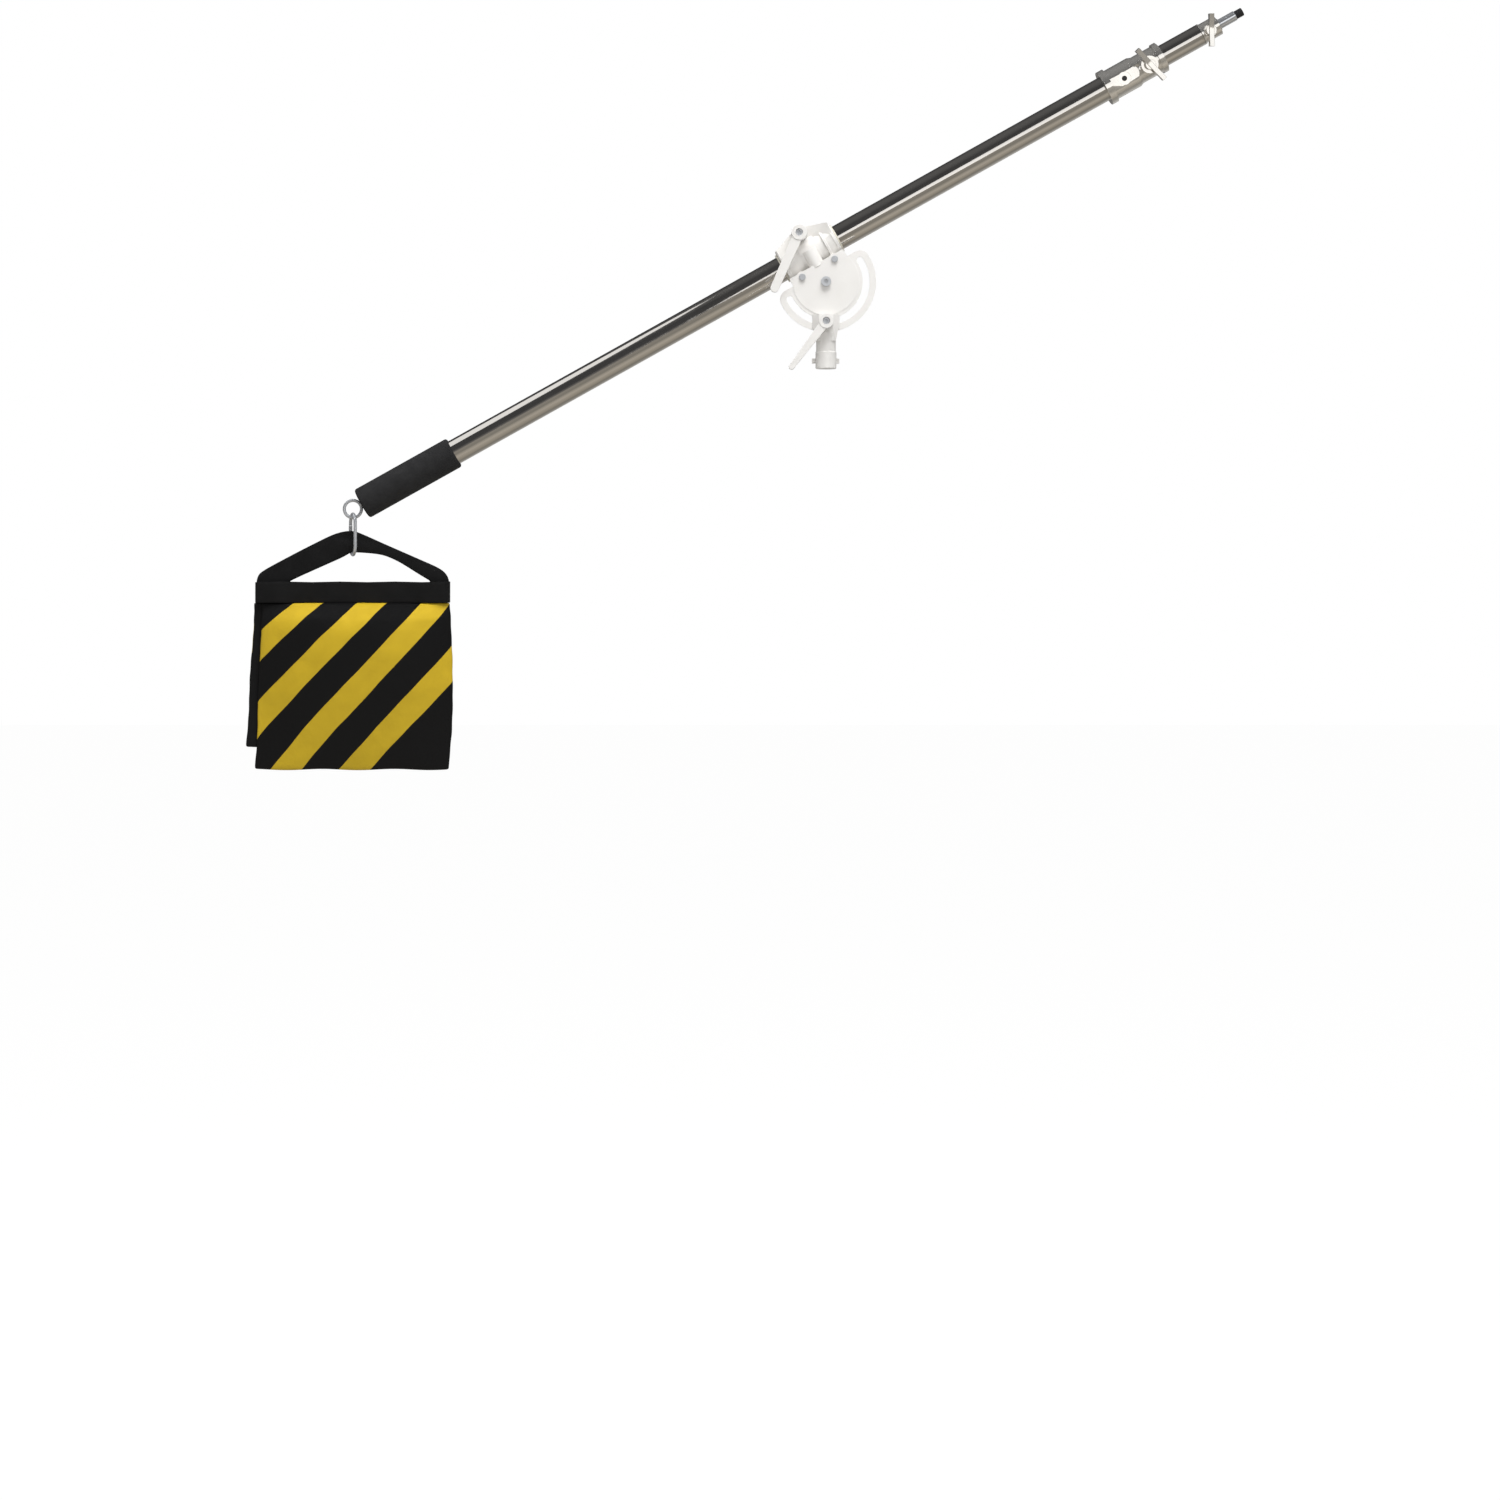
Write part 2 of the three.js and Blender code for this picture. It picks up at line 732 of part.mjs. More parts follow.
// Everything on the boom's axis: +X runs along the boom from the clamp's middle
const boomAxis = new THREE.Group();
boomAxis.position.set(0, boomSetback, boomRise);
head.add(boomAxis);

function clampBody() {
  const middleRear = clampShift - clampMiddleBandWidth / 2;
  const middleFront = clampShift + clampMiddleBandWidth / 2;
  const sleeve = turned(
    [
      [0, clampRear],
      [bandRadius, clampRear],
      [bandRadius, clampRear + clampEndBandWidth],
      [sleeveRadius, clampRear + clampEndBandWidth],
      [sleeveRadius, middleRear],
      [bandRadius, middleRear],
      [bandRadius, middleFront],
      [sleeveRadius, middleFront],
      [sleeveRadius, clampFront - clampEndBandWidth],
      [bandRadius, clampFront - clampEndBandWidth],
      [bandRadius, clampFront],
      [0, clampFront],
    ],
    "x",
    fineSides,
  );
  const earFront = clampShift + earHalfLength;
  const earRear = clampShift - earHalfLength;
  const shoulderFront = clampBoltForward + earShoulderHalf;
  const shoulderRear = clampBoltForward - earShoulderHalf;
  const shoulderRise = clampBoltRise + clampBossRadius * earShoulderShare;
  const earOutline = polygon([
    [earFront, 0],
    [earFront, earEndHeight],
    [shoulderFront, shoulderRise],
    [shoulderRear, shoulderRise],
    [earRear, earEndHeight],
    [earRear, 0],
  ]);
  const earPlan = polygon([
    [earFront, -bandRadius],
    [earFront, bandRadius],
    [shoulderFront, earFace],
    [shoulderRear, earFace],
    [earRear, bandRadius],
    [earRear, -bandRadius],
    [shoulderRear, -earFace],
    [shoulderFront, -earFace],
  ]);
  const ears = frontPlate(earOutline, [-bandRadius, bandRadius]).intersect(
    uprightPlate(earPlan, [0, shoulderRise]),
  );
  const boltBoss = rod(
    2 * clampBossRadius,
    [-earFace, earFace],
    "y",
    [clampBoltForward, 0, clampBoltRise],
  );
  const padFace = plateBack + gap - boomSetback;
  const screwEnds = [padFace - overrun, padFace - gap + plateScrewDepth];
  const pads = [-1, 1].map((side) => [side * plateScrewSpacing / 2, 0, plateScrewRise - boomRise]);
  return cut(
    join(sleeve, ears, boltBoss, ...pads.map((place) => rod(2 * clampPadRadius, [padFace, 0], "y", place))),
    rod(clampBore, [clampRear - overrun, clampFront + overrun], "x", [0, 0, 0], fineSides),
    block(
      [clampRear - overrun, -clampSlit / 2, 0],
      [clampFront + overrun, clampSlit / 2, clampBoltRise + 2 * clampBossRadius],
    ),
    rod(
      clampBoltDiameter + 2 * gap,
      [-earFace - overrun, earFace + overrun],
      "y",
      [clampBoltForward, 0, clampBoltRise],
      smallSides,
    ),
    ...pads.map((place) => rod(plateScrewDiameter + 2 * gap, screwEnds, "y", place, smallSides)),
  );
}
addPiece(boomAxis, "clamp_body", clampBody(), nickel);

// Pinch bolt across the clamp's ears, its lever out in front of the plate and its screws
const pinch = new THREE.Group();
pinch.position.set(clampBoltForward, 0, clampBoltRise);
boomAxis.add(pinch);
const clampHubBack = -earFace - gap - washerThickness - gap;
const clampArmBack = plateFront - leverOverPlate - boomSetback;
const clampHubFront = clampArmBack - leverArmThickness - leverFaceDrop;
const clampBoltEnd = clampHubFront + leverRecess + leverScrewHeight;
addPiece(
  pinch,
  "clamp_bolt",
  cut(
    join(
      hexagon(
        nutAcrossFlats,
        [earFace + gap + washerThickness + gap, earFace + 2 * gap + washerThickness + clampBoltHeadHeight],
        "y",
      ),
      rod(clampBoltDiameter, [earFace + washerThickness + 2 * gap, clampBoltEnd], "y", [0, 0, 0], smallSides),
    ),
    leverScrewHole(clampBoltEnd, clampHubFront),
  ),
  zinc,
);
for (const [name, side] of [["front", -1], ["rear", 1]]) {
  const seat = side * (earFace + gap);
  addPiece(
    pinch,
    "clamp_washer_" + name,
    ring(washerDiameter, clampBoltDiameter + 2 * gap, [seat, seat + side * washerThickness], "y"),
    zinc,
  );
}
const clampLever = new THREE.Group();
clampLever.rotation.y = -clampArmAngle;
pinch.add(clampLever);
addPiece(
  clampLever,
  "clamp_lever",
  leverOnBolt(
    clampHubDiameter,
    clampHubBack,
    clampHubFront,
    clampArmLength,
    clampArmRootWidth,
    clampArmTipWidth,
    clampBoltDiameter,
    clampBoltEnd,
  ),
  nickel,
);
addPiece(clampLever, "clamp_lever_screw", leverScrew(clampHubFront), zinc);

// Liner between the clamp and the tube, with a low lip outside each end of the clamp
const linerLipRadius = clampBore / 2 + linerLipHeight;
addPiece(
  boomAxis,
  "clamp_liner",
  turned(
    [
      [linerBore / 2, clampRear - gap - linerLip],
      [linerLipRadius, clampRear - gap - linerLip],
      [linerLipRadius, clampRear - gap],
      [linerDiameter / 2, clampRear - gap],
      [linerDiameter / 2, clampFront + gap],
      [linerLipRadius, clampFront + gap],
      [linerLipRadius, clampFront + gap + linerLip],
      [linerBore / 2, clampFront + gap + linerLip],
      [linerBore / 2, clampRear - gap - linerLip],
    ],
    "x",
    fineSides,
  ),
  nylon,
);

// The tubes, the collar and the tip lie a little rolled about the boom, so the knobs point slightly down
const rolled = new THREE.Group();
rolled.rotation.x = frontRoll;
boomAxis.add(rolled);

// Outer section
const tubeFront = collarStart + collarTubeSeat;
const rivetCentre = collarStart + rivetPlace;
addPiece(
  rolled,
  "boom_tube",
  cut(
    ring(outerTubeDiameter, outerTubeBore, [-rearReach, tubeFront - gap], "x", [0, 0, 0], fineSides),
    rod(rivetDiameter + 2 * gap, [0, -outerTubeDiameter], "y", [rivetCentre, 0, 0], smallSides),
  ),
  chrome,
);
const gripRear = -rearReach - gripOverhang;
const gripFront = gripRear + gripLength;
const gripBore = outerTubeRadius + gap;
const gripRadius = gripBore + gripThickness;
addPiece(
  boomAxis,
  "foam_grip",
  turned(
    [
      [gripBore, gripRear],
      [gripRadius - gripRound, gripRear],
      [gripRadius - gripRound * gripRoundShare, gripRear + gripRound * gripRoundShare],
      [gripRadius, gripRear + gripRound],
      [gripRadius, gripFront - gripRound],
      [gripRadius - gripRound * gripRoundShare, gripFront - gripRound * gripRoundShare],
      [gripRadius - gripRound, gripFront],
      [gripBore, gripFront],
      [gripBore, gripRear],
    ],
    "x",
    fineSides,
  ),
  blackFoam,
);

// Rear plug with the eye bolt through it and a nut inside the tube
const plugFace = -rearReach - gap - plugFlange;
const plugEnd = -rearReach + plugDepth;
addPiece(
  boomAxis,
  "rear_plug",
  cut(
    join(
      rod(outerTubeDiameter, [plugFace, -rearReach - gap], "x"),
      rod(outerTubeBore - 2 * gap, [-rearReach - gap, plugEnd], "x"),
    ),
    rod(eyeShankDiameter + 2 * gap, [plugFace - overrun, plugEnd + overrun], "x", [0, 0, 0], smallSides),
  ),
  blackPlastic,
);
const eyeCentre = gripRear - gap - eyeMeanRadius - eyeWireDiameter / 2;
const eyeNutFoot = plugEnd + gap;
function eyeBolt() {
  const loop = new THREE.TorusGeometry(eyeMeanRadius, eyeWireDiameter / 2, 10, sides);
  const shankStart = eyeCentre + eyeMeanRadius;
  return join(
    solidOf(loop.rotateX(Math.PI / 2).translate(eyeCentre, 0, 0)),
    rod(eyeShankDiameter, [shankStart, eyeNutFoot + eyeNutHeight + boltEndProud], "x", [0, 0, 0], smallSides),
  );
}
addPiece(boomAxis, "eye_bolt", eyeBolt(), zinc);
addPiece(
  boomAxis,
  "eye_nut",
  cut(
    hexagon(eyeNutAcrossFlats, [eyeNutFoot, eyeNutFoot + eyeNutHeight], "x"),
    rod(
      eyeShankDiameter + 2 * gap,
      [eyeNutFoot - overrun, eyeNutFoot + eyeNutHeight + overrun],
      "x",
      [0, 0, 0],
      smallSides,
    ),
  ),
  zinc,
);

// Front collar
const collarBore = outerTubeRadius + gap;
const collarFlangeRadius = collarBore + collarFlangeHeight;
const collarBodyRadius = collarBore + collarBodyWall;
const collarNeckRadius = collarBore + collarNeckWall;
const collarEnd = collarStart + collarLength;
const bushBore = innerTubeDiameter / 2 + gap;
const bushRadius = bushBore + collarBushThickness;
const bushFoot = collarEnd - collarBushLength;
const frontKnobPlace = collarStart + collarKnobPlace;
const frontBossFace = -collarNeckRadius - collarBossHeight;
const collarFlat = -collarBodyRadius + collarFlatDepth;
const rivetFace = collarFlat + rivetFaceDepth;
function frontCollar() {
  const bodyStart = collarStart + collarFlange;
  const bodyEnd = bodyStart + collarBodyLength;
  const flangeEnd = collarEnd - collarLip;
  const flangeStart = flangeEnd - collarFrontFlange;
  const outer = turned(
    [
      [0, collarStart],
      [collarFlangeRadius, collarStart],
      [collarFlangeRadius, bodyStart],
      [collarBodyRadius, bodyStart],
      [collarBodyRadius, bodyEnd],
      [collarNeckRadius, bodyEnd + collarTaperLength],
      [collarNeckRadius, flangeStart],
      [collarBodyRadius, flangeStart],
      [collarBodyRadius, flangeEnd],
      [collarNeckRadius, flangeEnd],
      [collarNeckRadius, collarEnd],
      [0, collarEnd],
    ],
    "x",
    fineSides,
  );
  const flatCut = block(
    [bodyStart, -2 * collarBodyRadius, -collarBodyRadius],
    [bodyEnd + collarTaperLength, collarFlat, collarBodyRadius],
  );
  const boss = rod(collarBossDiameter, [-innerTubeDiameter / 2, frontBossFace], "y", [frontKnobPlace, 0, 0]);
  return cut(
    join(cut(outer, flatCut), boss),
    rod(2 * collarBore, [collarStart - overrun, tubeFront], "x", [0, 0, 0], fineSides),
    rod(2 * bushBore + 2 * gap, [tubeFront - overrun, bushFoot], "x", [0, 0, 0], fineSides),
    rod(2 * bushRadius + 2 * gap, [bushFoot - gap, collarEnd + overrun], "x", [0, 0, 0], fineSides),
    rod(knobStemDiameter + 2 * gap, [0, frontBossFace - overrun], "y", [frontKnobPlace, 0, 0], smallSides),
    rod(rivetDiameter + 2 * gap, [0, -2 * collarBodyRadius], "y", [rivetCentre, 0, 0], smallSides),
    rod(rivetFaceDiameter, [rivetFace, -2 * collarBodyRadius], "y", [rivetCentre, 0, 0]),
  );
}
addPiece(rolled, "front_collar", frontCollar(), nickel);
addPiece(
  rolled,
  "collar_rivet",
  rod(
    rivetDiameter,
    [-(outerTubeBore / 2 + gap), rivetFace - rivetProud],
    "y",
    [rivetCentre, 0, 0],
    smallSides,
  ),
  blackSteel,
);
addPiece(
  rolled,
  "collar_bush",
  ring(2 * bushRadius, 2 * bushBore, [bushFoot, collarEnd + gap], "x", [0, 0, 0], fineSides),
  nylon,
);
const shoeInner = -innerTubeDiameter / 2 - gap;
const shoeOuter = shoeInner - brakeShoeThickness;
addPiece(
  rolled,
  "brake_shoe",
  rod(knobStemDiameter, [shoeInner, shoeOuter], "y", [frontKnobPlace, 0, 0], smallSides),
  nylon,
);
const frontKnob = new THREE.Group();
frontKnob.position.set(frontKnobPlace, 0, 0);
frontKnob.rotation.y = boomTilt + frontKnobTurn;
rolled.add(frontKnob);
addPiece(frontKnob, "front_knob", tKnob(shoeOuter - gap, frontBossFace - gap, frontKnobBarLength), nickel);

// Inner section
const innerTubeFront = collarEnd + innerTubeShown;
const innerTubeRear = -rearReach + innerTubeRearRoom;
const innerTubeBore = innerTubeDiameter - 2 * innerTubeWall;
addPiece(
  rolled,
  "inner_tube",
  ring(innerTubeDiameter, innerTubeBore, [innerTubeRear, innerTubeFront], "x", [0, 0, 0], fineSides),
  chrome,
);
addPiece(
  rolled,
  "guide_plug",
  join(
    rod(outerTubeBore - 2 * gap, [innerTubeRear - gap - guidePlugLength, innerTubeRear - gap], "x"),
    rod(innerTubeBore - 2 * gap, [innerTubeRear - gap, innerTubeRear + guidePlugLength], "x"),
  ),
  blackPlastic,
);

// Tip socket with its knob, and the stud that it holds
const tipFace = innerTubeFront + gap;
const tipBarrelStart = tipFace + tipFlange;
const tipEnd = tipFace + tipFlange + tipBarrelLength;
const tipKnobCentre = tipBarrelStart + tipKnobPlace;
const tipBore = studDiameter + 2 * gap;
const studFoot = tipBarrelStart;
const tipBossFace = -tipBarrelDiameter / 2 - tipBossHeight;
const insertRadius = innerTubeBore / 2 - gap;
addPiece(
  rolled,
  "tip_socket",
  cut(
    join(
      turned(
        [
          [0, tipFace - tipInsert],
          [insertRadius, tipFace - tipInsert],
          [insertRadius, tipFace],
          [innerTubeDiameter / 2, tipFace],
          [innerTubeDiameter / 2, tipBarrelStart],
          [tipBarrelDiameter / 2, tipBarrelStart],
          [tipBarrelDiameter / 2, tipEnd],
          [0, tipEnd],
        ],
        "x",
        fineSides,
      ),
      rod(tipBossDiameter, [0, tipBossFace], "y", [tipKnobCentre, 0, 0]),
    ),
    rod(tipBore, [studFoot - gap, tipEnd + overrun], "x"),
    rod(knobStemDiameter + 2 * gap, [0, tipBossFace - overrun], "y", [tipKnobCentre, 0, 0], smallSides),
  ),
  nickel,
);
const tipKnob = new THREE.Group();
tipKnob.position.set(tipKnobCentre, 0, 0);
tipKnob.rotation.y = boomTilt + tipKnobTurn;
rolled.add(tipKnob);
addPiece(tipKnob, "tip_knob", tKnob(-studDiameter / 2 - gap, tipBossFace - gap, tipKnobBarLength), nickel);

const shoulderEnd = tipEnd + studShoulder;
const neckEnd = shoulderEnd + studNeckLength;
const threadEnd = neckEnd + studThreadLength;
addPiece(
  rolled,
  "spigot_stud",
  turned(
    [
      [0, studFoot],
      [studDiameter / 2, studFoot],
      [studDiameter / 2, shoulderEnd],
      [studNeckDiameter / 2, shoulderEnd],
      [studNeckDiameter / 2, neckEnd],
      [studThreadDiameter / 2, neckEnd],
      [studThreadDiameter / 2, threadEnd],
      [0, threadEnd],
    ],
    "x",
  ),
  zinc,
);
addPiece(
  rolled,
  "spigot_cap",
  turned(
    [
      [studThreadDiameter / 2 + gap, neckEnd + gap],
      [capDiameter / 2, neckEnd + gap],
      [capDiameter / 2, neckEnd + gap + capLength],
      [0, neckEnd + gap + capLength],
      [0, threadEnd + gap],
      [studThreadDiameter / 2 + gap, threadEnd + gap],
      [studThreadDiameter / 2 + gap, neckEnd + gap],
    ],
    "x",
    smallSides,
  ),
  blackPlastic,
);

// Snap hook: hangs upright from the eye, whatever the boom's tilt, so it stands in the arm's frame
const eyePlace = new THREE.Vector3(eyeCentre, 0, boomRise).applyAxisAngle(
  new THREE.Vector3(0, 1, 0),
  -boomTilt,
);
const hanger = new THREE.Group();
hanger.position.set(eyePlace.x, boomSetback, pivotHeight + eyePlace.z);
arm.add(hanger);
const hook = new THREE.Group();
hook.rotation.z = hookTurn;
hanger.add(hook);

// Heights below the eye's centre
const hookTop = -eyeMeanRadius + eyeWireDiameter / 2 + gap + hookWireDiameter / 2;
const topArcHeight = hookTop - hookHalfWidth;
const bottomArcHeight = topArcHeight - hookStraight;
const noseHeight = topArcHeight - gateNoseDrop;
const gatePivotHeight = bottomArcHeight + gatePivotRise;
const gateFootReach = Math.hypot(gateDiameter / 2, gateTongue);
const wireEndAngle = Math.asin((gateFootReach + gap - gatePivotRise) / hookHalfWidth);

// The link's wire from its rear lower end, round the bottom, up the front, over the top to the nose
function hookCurve() {
  const points = [];
  const turns = 8;
  const arcPoint = (height, angle) =>
    new THREE.Vector3(0, hookHalfWidth * Math.cos(angle), height + hookHalfWidth * Math.sin(angle));
  for (let i = 0; i <= turns; i++) {
    const angle = -wireEndAngle - ((Math.PI - wireEndAngle) * i) / turns;
    points.push(arcPoint(bottomArcHeight, angle));
  }
  for (let i = 0; i <= turns; i++) {
    points.push(arcPoint(topArcHeight, Math.PI - (Math.PI * i) / turns));
  }
  points.push(new THREE.Vector3(0, hookHalfWidth, noseHeight));
  return new THREE.CatmullRomCurve3(points);
}
const tongueTop = gatePivotHeight + gateTongue;
const tongueFoot = bottomArcHeight - hookHalfWidth * Math.sin(wireEndAngle) - gateTongue;
const pinHole = gatePinDiameter + 2 * gatePinClearance;
const pinPlace = [0, hookHalfWidth, gatePivotHeight];
addPiece(
  hook,
  "hook_frame",
  cut(
    join(
      bentBar(hookWireDiameter, hookCurve(), 40),
      block(
        [-gateTongue / 2, hookHalfWidth - gateTongue, tongueFoot],
        [gateTongue / 2, hookHalfWidth + gateTongue, tongueTop],
      ),
    ),
    rod(pinHole, [-gateDiameter, gateDiameter], "x", pinPlace, 12),
  ),
  zinc,
);
addPiece(
  hook,
  "gate_pin",
  rod(gatePinDiameter, [-gateDiameter / 2 + gap, gateDiameter / 2 - gap], "x", pinPlace, 12),
  zinc,
);
const slotHalf = gateTongue / 2 + gap;
addPiece(
  hook,
  "hook_gate",
  cut(
    rod(gateDiameter, [gatePivotHeight - gateTongue, noseHeight - gap], "z", [0, hookHalfWidth, 0], smallSides),
    block(
      [-slotHalf, hookHalfWidth - gateDiameter, gatePivotHeight - gateDiameter],
      [slotHalf, hookHalfWidth + gateDiameter, tongueTop + gateTongue],
    ),
    rod(pinHole, [-gateDiameter, gateDiameter], "x", pinPlace, 12),
  ),
  zinc,
);

// Sandbag: its origin is the strap's lower edge, where the strap rests in the hook's bottom bend
const bag = new THREE.Group();
bag.position.z = bottomArcHeight - hookHalfWidth + hookWireDiameter / 2 + strapSeat;
hanger.add(bag);
const bandTop = -handleRise;
const bandFoot = bandTop - bandHeight;
const bandHalf = bandLength / 2;

// The strap's edges: x as a share of the band's half length, then height as shares of rise and width
const strapLowerShares = [
  [-1, -1, 0],
  [-0.62, -1, 0],
  [-0.19, -0.28, 0],
  [-0.03, 0, 0],
  [0.04, 0, 0],
  [0.3, -0.06, 0],
  [0.5, -0.35, 0],
  [0.76, -1, 0],
  [1, -1, 0],
];
const strapUpperShares = [
  [1, -1, 0.3],
  [0.92, -0.85, 0.4],
  [0.42, -0.5, 0.9],
  [0.05, 0, 0.98],
  [-0.05, 0, 1.02],
  [-0.23, -0.15, 1.03],
  [-0.52, -0.55, 0.92],
  [-0.93, -0.9, 0.4],
  [-1, -1, 0.3],
];
// The strap runs broad side on from one end of the band, through the hook, to the other end
function handleStrap() {
  const corners = [...strapLowerShares, ...strapUpperShares].map(([along, rise, width]) => [
    along * bandHalf,
    rise * (handleRise - gap) + width * strapWidth,
  ]);
  return frontPlate(polygon(corners), [-strapThickness / 2, strapThickness / 2]);
}
addPiece(bag, "handle_strap", handleStrap(), blackWebbing);
addPiece(
  bag,
  "saddle_band",
  block([-bandHalf, -bandHalfDepth, bandFoot], [bandHalf, bandHalfDepth, bandTop]),
  blackWebbing,
);

// How full a pouch is from its top to its foot, as shares of its height and depth
const pouchFillShares = [
  [0, 0.28],
  [0.06, 0.62],
  [0.16, 0.92],
  [0.34, 1],
  [0.58, 0.9],
  [0.8, 0.66],
  [0.95, 0.36],
  [1, 0.2],
];
const pouchCrownShares = [0.3, 0.72, 0.93, 1, 1, 0.93, 0.72, 0.3];

// One pouch: flat where it meets its neighbour, crowned outwards, leaning a little as it hangs
function pouch(side, height, shift, lean) {
  const inner = side * gap;
  const layers = pouchFillShares.map(([down, fill]) => {
    const middle = shift + lean * down;
    const level = bandFoot - gap - height * down;
    const corner = (acrossShare, depth) => [middle + pouchWidth * acrossShare, inner + side * depth, level];
    const crown = pouchCrownShares.map((crownShare, i) => {
      const acrossShare = i / (pouchCrownShares.length - 1) - 0.5;
      return corner(acrossShare, pouchDepth * fill * crownShare);
    });
    const loop = [corner(-0.5, 0), ...crown, corner(0.5, 0)];
    return side > 0 ? loop.reverse() : loop;
  });
  return lofted(layers.reverse());
}
addPiece(bag, "front_pouch", pouch(-1, frontPouchHeight, frontPouchShift, frontPouchLean), stripedCloth);
addPiece(bag, "rear_pouch", pouch(1, rearPouchHeight, rearPouchShift, rearPouchLean), stripedCloth);

export default arm;
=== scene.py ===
# An overhead boom arm on a swivel head, balanced by a striped saddle sandbag.
import math

import bpy
from mathutils import Matrix, Vector


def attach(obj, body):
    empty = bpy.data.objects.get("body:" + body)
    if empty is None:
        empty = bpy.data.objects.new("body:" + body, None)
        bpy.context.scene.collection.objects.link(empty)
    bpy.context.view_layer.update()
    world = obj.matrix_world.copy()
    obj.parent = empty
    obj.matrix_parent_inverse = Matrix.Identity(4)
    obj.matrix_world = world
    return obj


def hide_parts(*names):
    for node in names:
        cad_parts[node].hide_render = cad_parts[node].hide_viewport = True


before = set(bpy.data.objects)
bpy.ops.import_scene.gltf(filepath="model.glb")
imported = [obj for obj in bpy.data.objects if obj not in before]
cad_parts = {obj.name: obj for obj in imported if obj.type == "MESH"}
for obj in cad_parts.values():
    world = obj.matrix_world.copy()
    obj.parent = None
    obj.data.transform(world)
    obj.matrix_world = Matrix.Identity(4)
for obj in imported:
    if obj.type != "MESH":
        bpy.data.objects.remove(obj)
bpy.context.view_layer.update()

# The camera stands level in front of the boom, a little below the swivel head, with a long lens.
# The photograph keeps upright lines upright, so its framing comes from a shift and not from a tilt.
picture_side_px = 1500
picture_shift_px = -200
bpy.ops.object.camera_add(location=(-0.0944, -4.536, -0.225), rotation=(math.pi / 2, 0, 0))
camera = bpy.context.active_object
camera.name = "photo_camera"
camera.data.sensor_width = 36
camera.data.lens = 87.6
camera.data.shift_y = picture_shift_px / picture_side_px
camera.data.clip_end = 60
bpy.context.scene.camera = camera

# The floor is plain pale paper that lies where the stand's feet would be. It looks white to the camera and
# keeps a soft shadow. To glossy rays it glows in warm grey bands across its depth: a painted reflection in
# the polished metal.
floor_level = -1.4
floor_size = 40
floor_white = 1.1
floor_white_share = 0.85
floor_reach = 6
floor_glow_in_metal = [
    (-6.0, (0.30, 0.28, 0.25, 1)),
    (-2.5, (0.27, 0.255, 0.225, 1)),
    (-1.0, (0.50, 0.46, 0.40, 1)),
    (0.0, (0.36, 0.33, 0.28, 1)),
    (0.5, (0.25, 0.235, 0.21, 1)),
    (1.3, (0.32, 0.31, 0.29, 1)),
    (3.0, (0.50, 0.49, 0.47, 1)),
]


def shader_node(tree, kind, values=None, **settings):
    """Adds a shader node with its settings and the values of its unlinked sockets."""
    made = tree.nodes.new("ShaderNode" + kind)
    for setting, value in settings.items():
        setattr(made, setting, value)
    for socket, value in (values or {}).items():
        made.inputs[socket].default_value = value
    return made


def link(source, output, target, socket):
    """Joins an output of one shader node to a socket of another node in the same tree."""
    target.id_data.links.new(source.outputs[output], target.inputs[socket])


def colour_ramp(tree, stops):
    """Adds a colour ramp with a colour at each of its places from 0 to 1."""
    made = shader_node(tree, "ValToRGB")
    for _ in stops[2:]:
        made.color_ramp.elements.new(0.5)
    for element, (place, colour) in zip(made.color_ramp.elements, stops):
        element.position = place
        element.color = colour
    return made


bpy.ops.mesh.primitive_plane_add(size=floor_size, location=(0, 0, floor_level))
floor = bpy.context.active_object
floor.name = "floor"
floor_paper = bpy.data.materials.new("floor_paper")
floor_paper.use_nodes = True
tree = floor_paper.node_tree
paper = tree.nodes["Principled BSDF"]
paper.inputs["Base Color"].default_value = (0.5, 0.5, 0.49, 1)
paper.inputs["Roughness"].default_value = 1
path = shader_node(tree, "LightPath")
camera_white = shader_node(tree, "Emission", {"Strength": floor_white})
# Glow seen only by glossy rays, in bands across the floor's depth: a painted reflection in the polished metal
reflection_glow = shader_node(tree, "Emission", {"Strength": 1})
floor_place = shader_node(tree, "TexCoord")
floor_split = shader_node(tree, "SeparateXYZ")
floor_share = shader_node(tree, "MapRange", {"From Min": -floor_reach, "From Max": floor_reach})
floor_stops = [(0.5 + place / (2 * floor_reach), colour) for place, colour in floor_glow_in_metal]
floor_ramp = colour_ramp(tree, floor_stops)
camera_share = shader_node(tree, "Math", {1: floor_white_share}, operation="MULTIPLY")
camera_mix = shader_node(tree, "MixShader")
metal_mix = shader_node(tree, "MixShader")
link(floor_place, "Object", floor_split, "Vector")
link(floor_split, "Y", floor_share, "Value")
link(floor_share, "Result", floor_ramp, "Fac")
link(floor_ramp, "Color", reflection_glow, "Color")
link(path, "Is Camera Ray", camera_share, 0)
link(camera_share, "Value", camera_mix, "Fac")
link(paper, "BSDF", camera_mix, 1)
link(camera_white, "Emission", camera_mix, 2)
link(path, "Is Glossy Ray", metal_mix, "Fac")
link(camera_mix, "Shader", metal_mix, 1)
link(reflection_glow, "Emission", metal_mix, 2)
link(metal_mix, "Shader", tree.nodes["Material Output"], "Surface")
floor.data.materials.append(floor_paper)

# The room is white to the camera, soft light from above and from the front right to matt surfaces, and
# a dark studio to polished metal. Two broad lamps draw the bright lines along the tube, and a third,
# overhead in front, lights the cloth and the castings and stays out of the reflections.
light_from = (0.22, -0.15, 0.964)
light_least = 0.05
light_most = 0.85
room_in_metal = [
    (0.40, (0.30, 0.28, 0.25, 1)),
    (0.49, (0.16, 0.155, 0.15, 1)),
    (0.60, (0.06, 0.06, 0.062, 1)),
    (0.82, (0.055, 0.055, 0.057, 1)),
    (1.00, (0.13, 0.13, 0.13, 1)),
]

